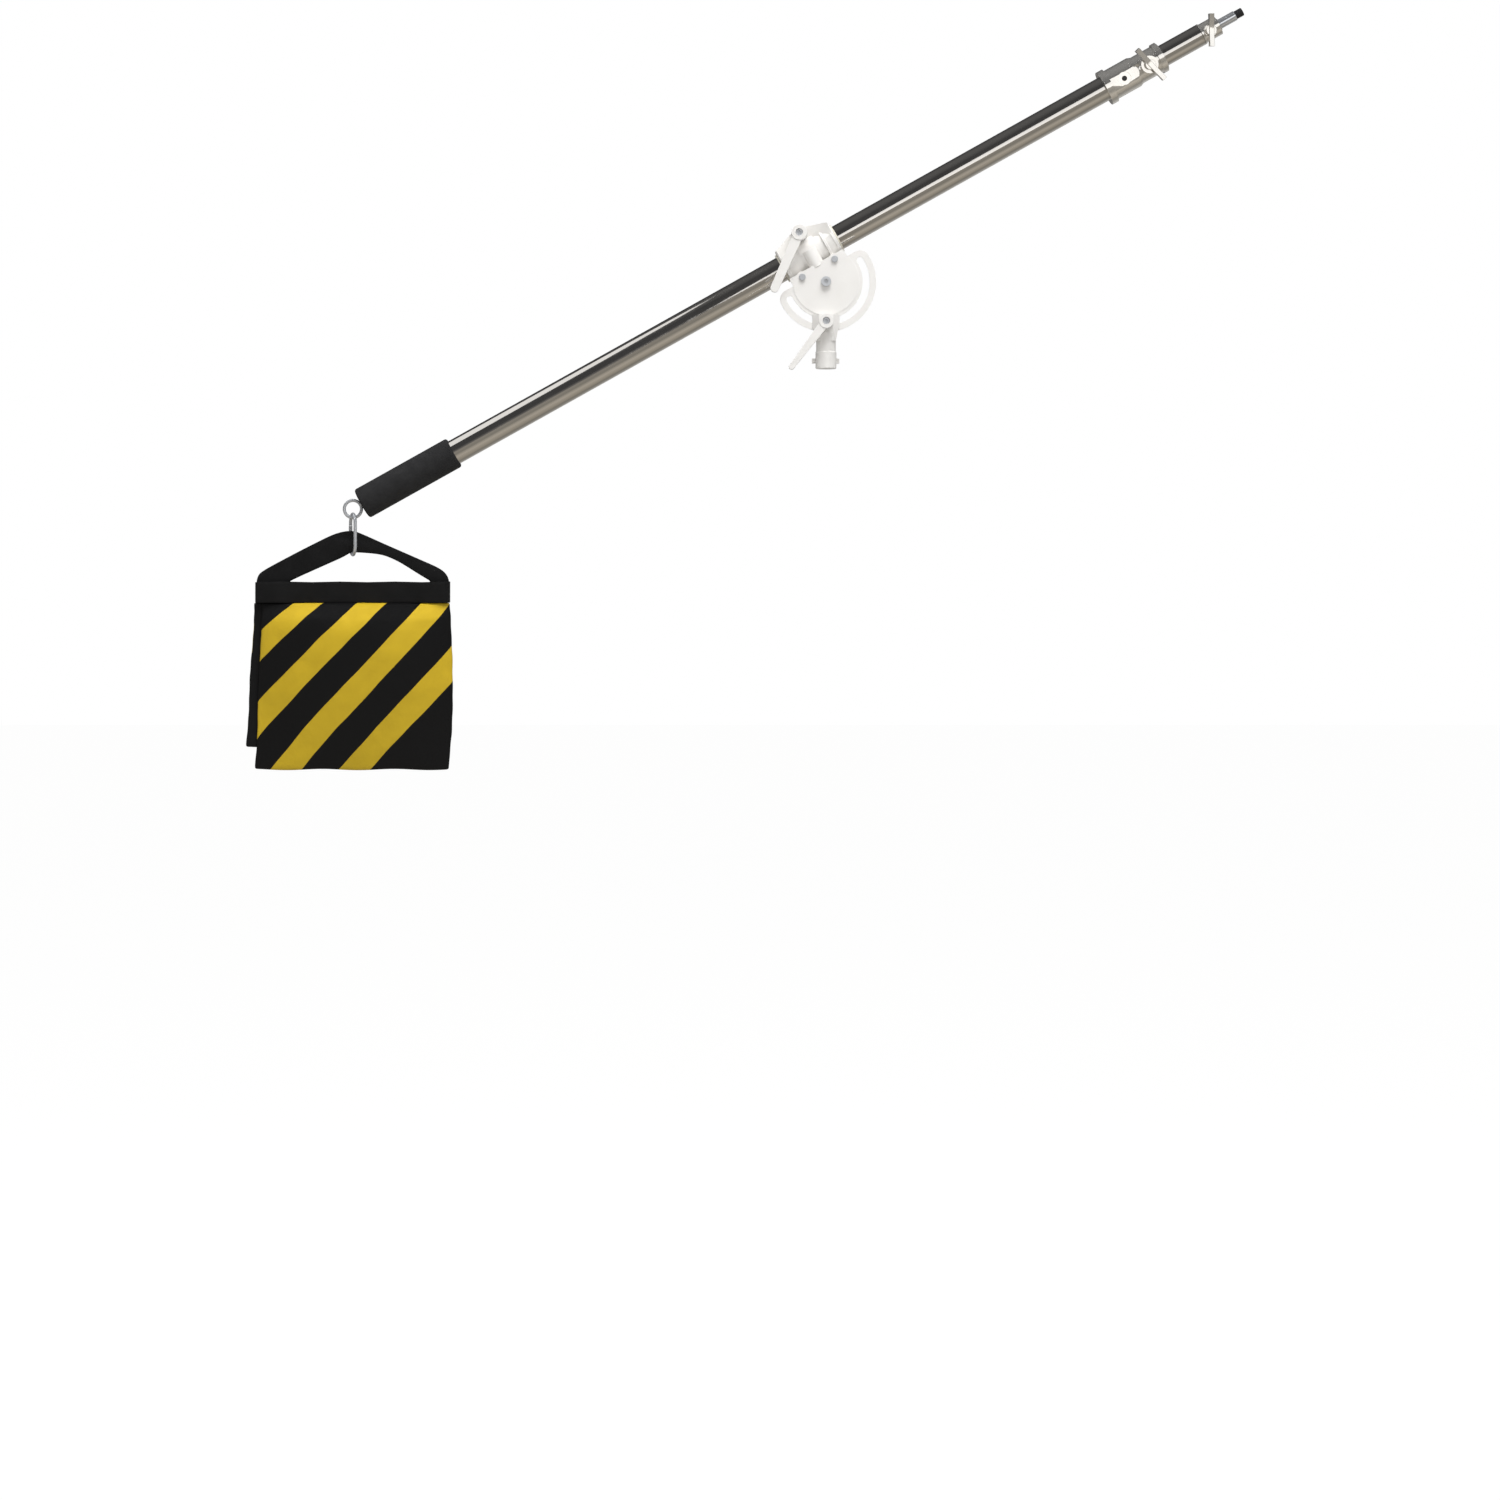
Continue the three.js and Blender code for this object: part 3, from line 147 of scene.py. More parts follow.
# The Mix node's colour sockets, which share their names with its other sockets
colour_a = 6
colour_b = 7
colour_out = 2
room = bpy.data.worlds.new("room")
room.use_nodes = True
tree = room.node_tree
direction = shader_node(tree, "TexCoord")
height = shader_node(tree, "SeparateXYZ")
height_share = shader_node(tree, "MapRange", {"From Min": -1, "From Max": 1})
metal_ramp = colour_ramp(tree, room_in_metal)
path = shader_node(tree, "LightPath")
towards_light = shader_node(tree, "VectorMath", {1: light_from}, operation="DOT_PRODUCT")
soft_light = shader_node(
    tree, "MapRange", {"From Min": -1, "From Max": 1, "To Min": light_least, "To Max": light_most}
)
metal_room = shader_node(tree, "Mix", data_type="RGBA")
camera_room = shader_node(tree, "Mix", {colour_b: (1, 1, 1, 1)}, data_type="RGBA")
link(direction, "Generated", height, "Vector")
link(height, "Z", height_share, "Value")
link(height_share, "Result", metal_ramp, "Fac")
link(direction, "Generated", towards_light, 0)
link(towards_light, "Value", soft_light, "Value")
link(path, "Is Glossy Ray", metal_room, 0)
link(soft_light, "Result", metal_room, colour_a)
link(metal_ramp, "Color", metal_room, colour_b)
link(path, "Is Camera Ray", camera_room, 0)
link(metal_room, colour_out, camera_room, colour_a)
link(camera_room, colour_out, tree.nodes["Background"], "Color")
bpy.context.scene.world = room
bpy.context.scene.view_settings.view_transform = "Standard"


def lamp(name, place, turn, width, height, power, shape):
    """A flat studio lamp, turned from looking straight down."""
    bpy.ops.object.light_add(type="AREA", location=place, rotation=turn)
    made = bpy.context.active_object
    made.name = name
    made.data.shape = shape
    made.data.size = width
    made.data.size_y = height
    made.data.energy = power
    made.visible_camera = False
    return made


boom_lean = math.radians(29.225)
front_turn = (math.pi / 2, -boom_lean, 0)
top_turn = (0, -boom_lean, 0)
key_turn = (math.radians(31), 0, math.radians(19))
lamp("front_panel", (1.137, -5.3, 0.843), front_turn, width=2.7, height=2.7, power=19, shape="ELLIPSE")
lamp("top_oval", (-1.653, -0.08, 1.419), top_turn, width=1.4, height=2.0, power=6.5, shape="ELLIPSE")
key = lamp("key", (0.4, -2.0, 3.4), key_turn, width=2.4, height=2.4, power=155, shape="RECTANGLE")
key.visible_glossy = False

# The receiver is one nickel-plated casting: a socket for the stand's pin, a fork, and an arm behind
# the sector plate. Its edges are rounded as they leave the mould, and its skin has a fine cast grain.
casting_edge = 0.0009


def effect_group(name, inputs, outputs):
    """A shader node group with named inputs and outputs, all plain values."""
    group = bpy.data.node_groups.new(name, "ShaderNodeTree")
    for socket, value in inputs.items():
        made = group.interface.new_socket(socket, in_out="INPUT", socket_type="NodeSocketFloat")
        made.default_value = value
    for socket in outputs:
        group.interface.new_socket(socket, in_out="OUTPUT", socket_type="NodeSocketFloat")
    return group, group.nodes.new("NodeGroupInput"), group.nodes.new("NodeGroupOutput")


def use_group(tree, group, values):
    """Places an effect in a material's tree with that material's own values."""
    made = tree.nodes.new("ShaderNodeGroup")
    made.node_tree = group
    for socket, value in values.items():
        made.inputs[socket].default_value = value
    return made


# Surface grain: a fine height and slow patches, in the object's own coordinates
surface_grain, grain_in, grain_out = effect_group(
    "surface_grain", {"Scale": 1000, "Patch Scale": 30}, ["Height", "Patches"]
)
grain_place = shader_node(surface_grain, "TexCoord")
fine_grain = shader_node(surface_grain, "TexNoise", {"Detail": 4, "Roughness": 0.6})
slow_patches = shader_node(surface_grain, "TexNoise", {"Detail": 3, "Roughness": 0.55})
link(grain_place, "Object", fine_grain, "Vector")
link(grain_place, "Object", slow_patches, "Vector")
link(grain_in, "Scale", fine_grain, "Scale")
link(grain_in, "Patch Scale", slow_patches, "Scale")
link(fine_grain, "Fac", grain_out, "Height")
link(slow_patches, "Fac", grain_out, "Patches")

# Edge wear: a mask that is 1 where a rounded edge turns quickly, broken up by a noise
edge_wear, wear_in, wear_out = effect_group("edge_wear", {"Radius": 0.001, "Breakup Scale": 400}, ["Mask"])
round_normal = shader_node(edge_wear, "Bevel", samples=6)
true_normal = shader_node(edge_wear, "NewGeometry")
alike = shader_node(edge_wear, "VectorMath", operation="DOT_PRODUCT")
turned_away = shader_node(edge_wear, "MapRange", {"From Min": 0.995, "From Max": 0.9})
breakup_place = shader_node(edge_wear, "TexCoord")
breakup = shader_node(edge_wear, "TexNoise", {"Detail": 3})
breakup_share = shader_node(edge_wear, "MapRange", {"From Min": 0.35, "From Max": 0.6})
worn_away = shader_node(edge_wear, "Math", operation="MULTIPLY")
link(wear_in, "Radius", round_normal, "Radius")
link(round_normal, "Normal", alike, 0)
link(true_normal, "Normal", alike, 1)
link(alike, "Value", turned_away, "Value")
link(breakup_place, "Object", breakup, "Vector")
link(wear_in, "Breakup Scale", breakup, "Scale")
link(breakup, "Fac", breakup_share, "Value")
link(turned_away, "Result", worn_away, 0)
link(breakup_share, "Result", worn_away, 1)
link(worn_away, "Value", wear_out, "Mask")


def new_finish(name, metallic, roughness):
    """A new material; returns it with its tree and its Principled shader."""
    made = bpy.data.materials.new(name)
    made.use_nodes = True
    shader = made.node_tree.nodes["Principled BSDF"]
    shader.inputs["Metallic"].default_value = metallic
    shader.inputs["Roughness"].default_value = roughness
    return made, made.node_tree, shader


def hard_finish(name, metallic, light, dark, worn, gloss, grain, wear_radius):
    """A plated, painted or moulded surface: patchy colour and gloss, fine grain, and worn edges.

    gloss is the roughness of the light and of the dark patches; grain is a scale and a depth.
    """
    made, tree, shader = new_finish(name, metallic, gloss[0])
    skin = use_group(tree, surface_grain, {"Scale": grain[0], "Patch Scale": 45})
    wear = use_group(tree, edge_wear, {"Radius": wear_radius, "Breakup Scale": 350})
    colour = shader_node(tree, "Mix", {colour_a: dark, colour_b: light}, data_type="RGBA")
    worn_colour = shader_node(tree, "Mix", {colour_b: worn}, data_type="RGBA")
    roughness = shader_node(
        tree, "MapRange", {"From Min": 0.3, "From Max": 0.7, "To Min": gloss[1], "To Max": gloss[0]}
    )
    bump = shader_node(tree, "Bump", {"Strength": 0.5, "Distance": grain[1]})
    link(skin, "Patches", colour, 0)
    link(colour, colour_out, worn_colour, colour_a)
    link(wear, "Mask", worn_colour, 0)
    link(worn_colour, colour_out, shader, "Base Color")
    link(skin, "Patches", roughness, "Value")
    link(roughness, "Result", shader, "Roughness")
    link(skin, "Height", bump, "Height")
    link(bump, "Normal", shader, "Normal")
    return made


def select_only(piece):
    """Selects one piece and makes it the active one."""
    bpy.ops.object.select_all(action="DESELECT")
    piece.select_set(True)
    bpy.context.view_layer.objects.active = piece


def edit_all():
    """Opens the active piece in edit mode with everything selected."""
    bpy.ops.object.mode_set(mode="EDIT")
    bpy.ops.mesh.select_all(action="SELECT")


def modify(piece, kind, **settings):
    """Adds a modifier to the active piece and applies it."""
    modifier = piece.modifiers.new("applied", kind)
    for setting, value in settings.items():
        setattr(modifier, setting, value)
    bpy.ops.object.modifier_apply(modifier=modifier.name)


def smooth_faces(piece, angle):
    """Shades a piece smooth up to an angle, with its normals led by its broad faces."""
    bpy.ops.object.shade_smooth_by_angle(angle=math.radians(angle))
    modify(piece, "WEIGHTED_NORMAL", keep_sharp=True)


def fit(piece, body, slot, finish, *replaced):
    """Gives a finished piece its material and its body, and hides what it stands for; slot is not used."""
    piece.data.materials.clear()
    piece.data.materials.append(finish)
    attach(piece, body)
    if replaced:
        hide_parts(*replaced)


def dress(node, body, slot, finish, edge, steps=3):
    """Copies a CAD node, merges its loose triangles and rounds its edges."""
    piece = bpy.data.objects.new(node + "_finished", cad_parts[node].data.copy())
    bpy.context.collection.objects.link(piece)
    select_only(piece)
    edit_all()
    bpy.ops.mesh.remove_doubles(threshold=0.00001)
    bpy.ops.mesh.dissolve_limited(angle_limit=math.radians(1))
    bpy.ops.object.mode_set(mode="OBJECT")
    modify(piece, "BEVEL", width=edge, segments=steps, limit_method="ANGLE", angle_limit=math.radians(30))
    smooth_faces(piece, angle=40)
    fit(piece, body, slot, finish, node)
    return piece


satin_nickel = hard_finish(
    "satin_nickel", 0.2, (0.92, 0.905, 0.88, 1), (0.87, 0.85, 0.82, 1), (0.97, 0.96, 0.945, 1),
    gloss=(0.40, 0.52), grain=(2200, 0.000012), wear_radius=0.0012,
)
dress("receiver", "receiver", "nickel", satin_nickel, casting_edge)

# The pivot bolt and the lock bolt are zinc-plated steel, with plain washers and a hexagon nut.
# The friction disc between plate and arm is pressed brown fibre.
hardware_edge = 0.0003
moulding_edge = 0.0002
zinc = hard_finish(
    "zinc_plate", 0.65, (0.74, 0.76, 0.79, 1), (0.60, 0.62, 0.65, 1), (0.86, 0.87, 0.88, 1),
    gloss=(0.30, 0.42), grain=(3500, 0.000004), wear_radius=0.0006,
)
for node in ("pivot_bolt", "pivot_washer", "pivot_nut", "lock_bolt", "lock_washer"):
    dress(node, "receiver", "zinc_hardware", zinc, hardware_edge, steps=2)
fibre = hard_finish(
    "pressed_fibre", 0, (0.10, 0.06, 0.04, 1), (0.06, 0.038, 0.026, 1), (0.15, 0.1, 0.07, 1),
    gloss=(0.8, 0.92), grain=(1800, 0.00015), wear_radius=0.0005,
)
dress("friction_disc", "receiver", "fibre", fibre, moulding_edge, steps=2)

# The tilt lever is a flat tapering casting on a round hub, with a hexagon-socket screw in its face.
# The socket knob is a T-shaped casting that locks the stand's pin.
lever_edge = 0.0013
dress("tilt_lever", "tilt_lever", "nickel", satin_nickel, lever_edge)
dress("tilt_lever_screw", "tilt_lever", "zinc_hardware", zinc, hardware_edge, steps=2)
dress("socket_knob", "socket_knob", "nickel", satin_nickel, casting_edge)

# The sector plate is a slotted disc with a raised middle, cast and nickel plated. Two zinc-plated
# button screws hold it to the clamp.
plate_edge = 0.0006
dress("sector_plate", "sector", "nickel", satin_nickel, plate_edge)
for node in ("plate_screw_rear", "plate_screw_front"):
    dress(node, "sector", "zinc_hardware", zinc, plate_edge)

# The clamp is a split sleeve with end bands and pinch ears, closed by one bolt and its lever.
# A natural nylon liner lies between it and the tube.
dress("clamp_body", "sector", "nickel", satin_nickel, casting_edge)
for node in ("clamp_bolt", "clamp_washer_front", "clamp_washer_rear"):
    dress(node, "sector", "zinc_hardware", zinc, hardware_edge, steps=2)
dress("clamp_lever", "clamp_lever", "nickel", satin_nickel, lever_edge)
dress("clamp_lever_screw", "clamp_lever", "zinc_hardware", zinc, hardware_edge, steps=2)
nylon = hard_finish(
    "natural_nylon", 0, (0.70, 0.67, 0.58, 1), (0.62, 0.59, 0.50, 1), (0.75, 0.72, 0.64, 1),
    gloss=(0.42, 0.55), grain=(900, 0.00005), wear_radius=0.0004,
)
dress("clamp_liner", "liner", "nylon", nylon, moulding_edge, steps=2)

# The outer section is drawn steel tube, polished and chromed, with its ends broken by a small radius.
# Its section is turned about the boom's axis, which runs along X until the piece is set in place.
boom_middle = Vector((-0.02051, 0.02485, 0.1451))
boom_place = Matrix.Translation(boom_middle) @ Matrix.Rotation(-boom_lean, 4, "Y")
outer_radius = 0.01573
outer_rear = -0.63519
outer_front = 0.46301
tube_wall = 0.0015
tube_lip = 0.0005
tube_sides = 128

# Polishing lines: a height drawn out along the boom, in the object's own coordinates
polish_lines, lines_in, lines_out = effect_group("polish_lines", {"Along": 4, "Across": 900}, ["Height"])
lines_place = shader_node(polish_lines, "TexCoord")
lines_turn = shader_node(polish_lines, "VectorRotate", {"Angle": boom_lean}, rotation_type="Y_AXIS")
lines_stretch = shader_node(polish_lines, "CombineXYZ")
lines_scaled = shader_node(polish_lines, "VectorMath", operation="MULTIPLY")
lines_noise = shader_node(polish_lines, "TexNoise", {"Scale": 1, "Detail": 2})
link(lines_place, "Object", lines_turn, "Vector")
link(lines_in, "Along", lines_stretch, "X")
link(lines_in, "Across", lines_stretch, "Y")
link(lines_in, "Across", lines_stretch, "Z")
link(lines_turn, "Vector", lines_scaled, 0)
link(lines_stretch, "Vector", lines_scaled, 1)
link(lines_scaled, "Vector", lines_noise, "Vector")
link(lines_noise, "Fac", lines_out, "Height")

chrome, tree, shader = new_finish("tube_chrome", 1, 0.08)
lines = use_group(tree, polish_lines, {"Along": 5, "Across": 1400})
smears = use_group(tree, surface_grain, {"Scale": 60, "Patch Scale": 14})
chrome_colour = shader_node(
    tree, "Mix", {colour_a: (0.66, 0.635, 0.60, 1), colour_b: (0.74, 0.715, 0.68, 1)}, data_type="RGBA"
)
chrome_gloss = shader_node(
    tree, "MapRange", {"From Min": 0.35, "From Max": 0.7, "To Min": 0.05, "To Max": 0.12}
)
chrome_bump = shader_node(tree, "Bump", {"Strength": 0.15, "Distance": 0.00002})
link(smears, "Patches", chrome_colour, 0)
link(chrome_colour, colour_out, shader, "Base Color")
link(smears, "Height", chrome_gloss, "Value")
link(chrome_gloss, "Result", shader, "Roughness")
link(lines, "Height", chrome_bump, "Height")
link(chrome_bump, "Normal", shader, "Normal")


def start_piece(name, primitive, scale=(1, 1, 1), **settings):
    """Starts a piece from a primitive, alone in the selection, with its place and size in its mesh."""
    bpy.ops.object.select_all(action="DESELECT")
    primitive(**settings)
    piece = bpy.context.active_object
    piece.name = name
    piece.scale = scale
    bpy.ops.object.transform_apply()
    return piece


def turn_on_boom(name, section, sides):
    """Turns a closed section about the boom's axis; each point is a place along it and a radius."""
    start, radius = section[0]
    piece = start_piece(
        name, bpy.ops.mesh.primitive_circle_add,
        vertices=sides, radius=radius, location=(start, 0, 0), rotation=(0, math.pi / 2, 0),
    )
    edit_all()
    for along, wide in section[1:] + section[:1]:
        bpy.ops.mesh.extrude_region_move(TRANSFORM_OT_translate={"value": (along - start, 0, 0)})
        bpy.ops.transform.resize(value=(1, wide / radius, wide / radius), center_override=(along, 0, 0))
        start, radius = along, wide
    bpy.ops.mesh.select_all(action="SELECT")
    bpy.ops.mesh.remove_doubles(threshold=0.000001)
    bpy.ops.mesh.normals_make_consistent(inside=False)
    bpy.ops.object.mode_set(mode="OBJECT")
    piece.data.transform(boom_place)
    smooth_faces(piece, angle=35)
    return piece


def tube_section(rear, front, radius):
    """A tube's wall with small lips at both ends, drawn from its rear inner edge round its outside."""
    inner = radius - tube_wall
    lip_middle = tube_lip * 0.3
    return [
        (rear + tube_lip, inner),
        (rear, inner + tube_lip),
        (rear, radius - tube_lip),
        (rear + lip_middle, radius - lip_middle),
        (rear + tube_lip, radius),
        (front - tube_lip, radius),
        (front - lip_middle, radius - lip_middle),
        (front, radius - tube_lip),
        (front, inner + tube_lip),
        (front - tube_lip, inner),
    ]


outer_section = tube_section(outer_rear, outer_front, outer_radius)
boom_tube = turn_on_boom("boom_tube_finished", outer_section, tube_sides)
fit(boom_tube, "boom", "chrome_tube", chrome, "boom_tube")

# The clamp's casting also carries three raised ribs, turned here about the boom as the tube is, and a
# round boss in the middle of its front that comes down over the plate's edge. All have its finish.
rib_ends = ((-0.0362, -0.0318), (0.0215, 0.0250), (0.0335, 0.0377))
rib_radius = 0.0231
rib_core = 0.0200
rib_round = 0.0005
boss_x = 0.0006
boss_y = -0.01935
boss_z = -0.0086
boss_radius = 0.0094
boss_length = 0.0235
boss_back = -0.0186
boss_lower_half = -0.02
boss_nose = 0.0012
boss_taper = 0.72


def join(first, *others):
    """Joins other pieces into the first one."""
    select_only(first)
    for other in others:
        other.select_set(True)
    bpy.ops.object.join()


ribs = []
for rear, front in rib_ends:
    rib_section = [
        (rear, rib_core),
        (rear, rib_radius - rib_round),
        (rear + rib_round, rib_radius),
        (front - rib_round, rib_radius),
        (front, rib_radius - rib_round),
        (front, rib_core),
    ]
    ribs.append(turn_on_boom("clamp_rib", rib_section, sides=96))
join(*ribs)
ribs[0].name = "clamp_ribs"
fit(ribs[0], "sector", "nickel", satin_nickel)

boss = start_piece(
    "clamp_boss", bpy.ops.mesh.primitive_cylinder_add,
    vertices=64, radius=boss_radius, depth=boss_length, location=(boss_x, boss_y, boss_z),
)
bpy.ops.object.mode_set(mode="EDIT")
bpy.ops.mesh.select_all(action="DESELECT")
bpy.ops.object.mode_set(mode="OBJECT")
for vertex in boss.data.vertices:
    vertex.co.y = min(vertex.co.y, boss_back)
    vertex.select = vertex.co.z < boss_lower_half
bpy.ops.object.mode_set(mode="EDIT")
bpy.ops.mesh.extrude_region_move(TRANSFORM_OT_translate={"value": (0, 0, -boss_nose)})
bpy.ops.transform.resize(value=(boss_taper, boss_taper, 1), center_override=(boss_x, boss_y, 0))
bpy.ops.object.mode_set(mode="OBJECT")
modify(boss, "BEVEL", width=boss_nose, segments=4, limit_method="ANGLE")
boss.data.transform(boom_place)
smooth_faces(boss, angle=30)
fit(boss, "sector", "nickel", satin_nickel)

# The rear plug is moulded black plastic, pressed into the tube's rear end. The eye bolt's shank
# passes through it to a nut inside.
plug_edge = 0.0005
black_plastic = hard_finish(
    "moulded_plastic", 0, (0.016, 0.016, 0.017, 1), (0.010, 0.010, 0.011, 1), (0.035, 0.035, 0.036, 1),
    gloss=(0.45, 0.6), grain=(1500, 0.00006), wear_radius=0.0005,
)
dress("rear_plug", "boom", "black_plastic", black_plastic, plug_edge)

# The hand grip is a sleeve of dense black foam, slid over the tube's rear end. Its ends are rounded
# and its skin shows fine open cells.
grip_rear = -0.64019
grip_front = -0.50819
grip_radius = 0.02
grip_bore = 0.0158
grip_round = 0.003
foam, tree, shader = new_finish("black_foam", 0, 0.85)
cells = use_group(tree, surface_grain, {"Scale": 1300, "Patch Scale": 90})
foam_colour = shader_node(
    tree, "Mix", {colour_a: (0.010, 0.010, 0.011, 1), colour_b: (0.026, 0.026, 0.027, 1)}, data_type="RGBA"
)
foam_bump = shader_node(tree, "Bump", {"Strength": 0.6, "Distance": 0.0003})
link(cells, "Patches", foam_colour, 0)
link(foam_colour, colour_out, shader, "Base Color")
link(cells, "Height", foam_bump, "Height")
link(foam_bump, "Normal", shader, "Normal")


def grip_end(end, inwards):
    """A quarter round from an end face of the grip up to its outside."""
    angles = [math.radians(22.5 * step) for step in range(5)]
    return [
        (end + inwards * grip_round * (1 - math.cos(angle)), grip_radius - grip_round * (1 - math.sin(angle)))
        for angle in angles
    ]


grip_section = [(grip_rear, grip_bore), *grip_end(grip_rear, 1)]
grip_section += [*reversed(grip_end(grip_front, -1)), (grip_front, grip_bore)]
foam_grip = turn_on_boom("foam_grip_finished", grip_section, sides=96)
fit(foam_grip, "boom", "black_foam", foam, "foam_grip")

# The eye bolt is zinc-plated wire, bent to a ring and welded to a straight shank. A nut holds it
# inside the rear plug.
eye_centre = Vector((-0.5906, 0.02485, -0.17384))
eye_radius = 0.01075
eye_wire = 0.002
shank_radius = 0.003
shank_front = -0.61189
shank_core = 0.0001
shank_swell = 0.004
shank_bevel = 0.0005
weld_share = 0.4
weld_grid = 0.0004
eye_bolt = start_piece(
    "eye_bolt_finished", bpy.ops.mesh.primitive_torus_add,
    location=eye_centre, rotation=(math.pi / 2, 0, 0), major_radius=eye_radius, minor_radius=eye_wire,
    major_segments=96, minor_segments=20,
)
eye_along = (boom_place.inverted() @ eye_centre).x
shank_start = eye_along + eye_radius - eye_wire * weld_share
shank_section = [
    (shank_start, shank_core),
    (shank_start, eye_wire),
    (shank_start + shank_swell, shank_radius),
    (shank_front - shank_bevel, shank_radius),
    (shank_front, shank_radius - shank_bevel),
    (shank_front, shank_core),
]
join(eye_bolt, turn_on_boom("shank", shank_section, sides=32))
modify(eye_bolt, "REMESH", mode="VOXEL", voxel_size=weld_grid)
modify(eye_bolt, "SMOOTH", iterations=3)
bpy.ops.object.shade_smooth()
fit(eye_bolt, "boom", "zinc_hardware", zinc, "eye_bolt")
dress("eye_nut", "boom", "zinc_hardware", zinc, hardware_edge, steps=2)

# The front collar is a nickel-plated casting riveted to the outer tube. Its knob presses a brake shoe
# on the inner tube, which runs in a nylon bush.
collar_edge = 0.0008
knob_edge = 0.0011
polished_nickel = hard_finish(
    "polished_nickel", 0.9, (0.88, 0.86, 0.82, 1), (0.80, 0.775, 0.73, 1), (0.93, 0.92, 0.90, 1),
    gloss=(0.07, 0.12), grain=(2600, 0.000002), wear_radius=0.001,
)
black_steel = hard_finish(
    "black_oxide", 0.6, (0.05, 0.05, 0.052, 1), (0.03, 0.03, 0.032, 1), (0.2, 0.2, 0.2, 1),
    gloss=(0.35, 0.5), grain=(2500, 0.00003), wear_radius=0.0004,
)
dress("front_collar", "boom", "nickel", polished_nickel, collar_edge)
dress("collar_rivet", "boom", "black_steel", black_steel, hardware_edge, steps=2)
dress("brake_shoe", "boom", "nylon", nylon, moulding_edge, steps=2)
dress("collar_bush", "bush", "nylon", nylon, moulding_edge, steps=2)
dress("front_knob", "front_knob", "nickel", polished_nickel, knob_edge)

# The inner section is a second chromed tube that slides in the first. A moulded black guide on its
# hidden rear end keeps it in line.
inner_rear = -0.46069
inner_front = 0.56031
inner_radius = 0.01373
inner_section = tube_section(inner_rear, inner_front, inner_radius)
inner_tube = turn_on_boom("inner_tube_finished", inner_section, tube_sides)
fit(inner_tube, "inner", "chrome_tube", chrome, "inner_tube")
dress("guide_plug", "inner", "black_plastic", black_plastic, hardware_edge, steps=2)

# The tip socket is a nickel-plated casting pressed into the inner tube. Its knob holds the stepped
# stud of bright turned steel, which ends in a black plastic cap.
stud_edge = 0.0004
cap_edge = 0.0012
bright_steel = hard_finish(
    "bright_steel", 0.85, (0.72, 0.74, 0.77, 1), (0.62, 0.64, 0.67, 1), (0.85, 0.86, 0.87, 1),
    gloss=(0.10, 0.16), grain=(3500, 0.000002), wear_radius=0.0005,
)
dress("tip_socket", "inner", "nickel", polished_nickel, collar_edge)
dress("tip_knob", "tip_knob", "nickel", polished_nickel, knob_edge)
dress("spigot_stud", "spigot", "zinc_hardware", bright_steel, stud_edge)
dress("spigot_cap", "spigot", "black_plastic", black_plastic, cap_edge)

# The snap hook is a bent zinc-plated wire link. Its rear side opens: a round gate turns on a small
# pin through a flat tongue at the wire's lower end.
hook_wire = 0.0021
hook_half = 0.012
hook_turn = math.radians(20)
top_arc = -0.01835
bottom_arc = -0.04515
nose = -0.02055
wire_end = 0.0919
tongue_half = 0.0008
tongue_reach = 0.0016
tongue_foot = -0.04785
tongue_top = -0.04155
pin_edge = 0.0001
gate_edge = 0.0004
hook_place = Matrix.Translation(eye_centre) @ Matrix.Rotation(hook_turn, 4, "Z")
hook_link = start_piece(
    "hook_frame_finished", bpy.ops.mesh.primitive_circle_add,
    vertices=24, radius=hook_wire, location=(0, hook_half, nose),
)
edit_all()
bpy.ops.mesh.extrude_region_move(TRANSFORM_OT_translate={"value": (0, 0, top_arc - nose)})
bpy.ops.mesh.spin(steps=32, angle=-math.pi, center=(0, 0, top_arc), axis=(1, 0, 0))
bpy.ops.mesh.extrude_region_move(TRANSFORM_OT_translate={"value": (0, 0, bottom_arc - top_arc)})
bpy.ops.mesh.spin(steps=32, angle=wire_end - math.pi, center=(0, 0, bottom_arc), axis=(1, 0, 0))
bpy.ops.mesh.select_all(action="SELECT")
bpy.ops.mesh.remove_doubles(threshold=0.000001)
bpy.ops.mesh.fill_holes(sides=0)
bpy.ops.mesh.normals_make_consistent(inside=False)
bpy.ops.object.mode_set(mode="OBJECT")
tongue = start_piece(
    "tongue", bpy.ops.mesh.primitive_cube_add,
    scale=(2 * tongue_half, 2 * tongue_reach, tongue_top - tongue_foot),
    size=1, location=(0, hook_half, (tongue_foot + tongue_top) / 2),
)
edit_all()
bpy.ops.mesh.bevel(offset=hardware_edge, segments=2, affect="EDGES")
bpy.ops.object.mode_set(mode="OBJECT")
join(hook_link, tongue)
hook_link.data.transform(hook_place)
bpy.ops.object.shade_smooth_by_angle(angle=math.radians(40))
fit(hook_link, "hook", "zinc_hardware", zinc, "hook_frame")
dress("gate_pin", "hook", "zinc_hardware", zinc, pin_edge, steps=2)
dress("hook_gate", "hook_gate", "zinc_hardware", zinc, gate_edge)

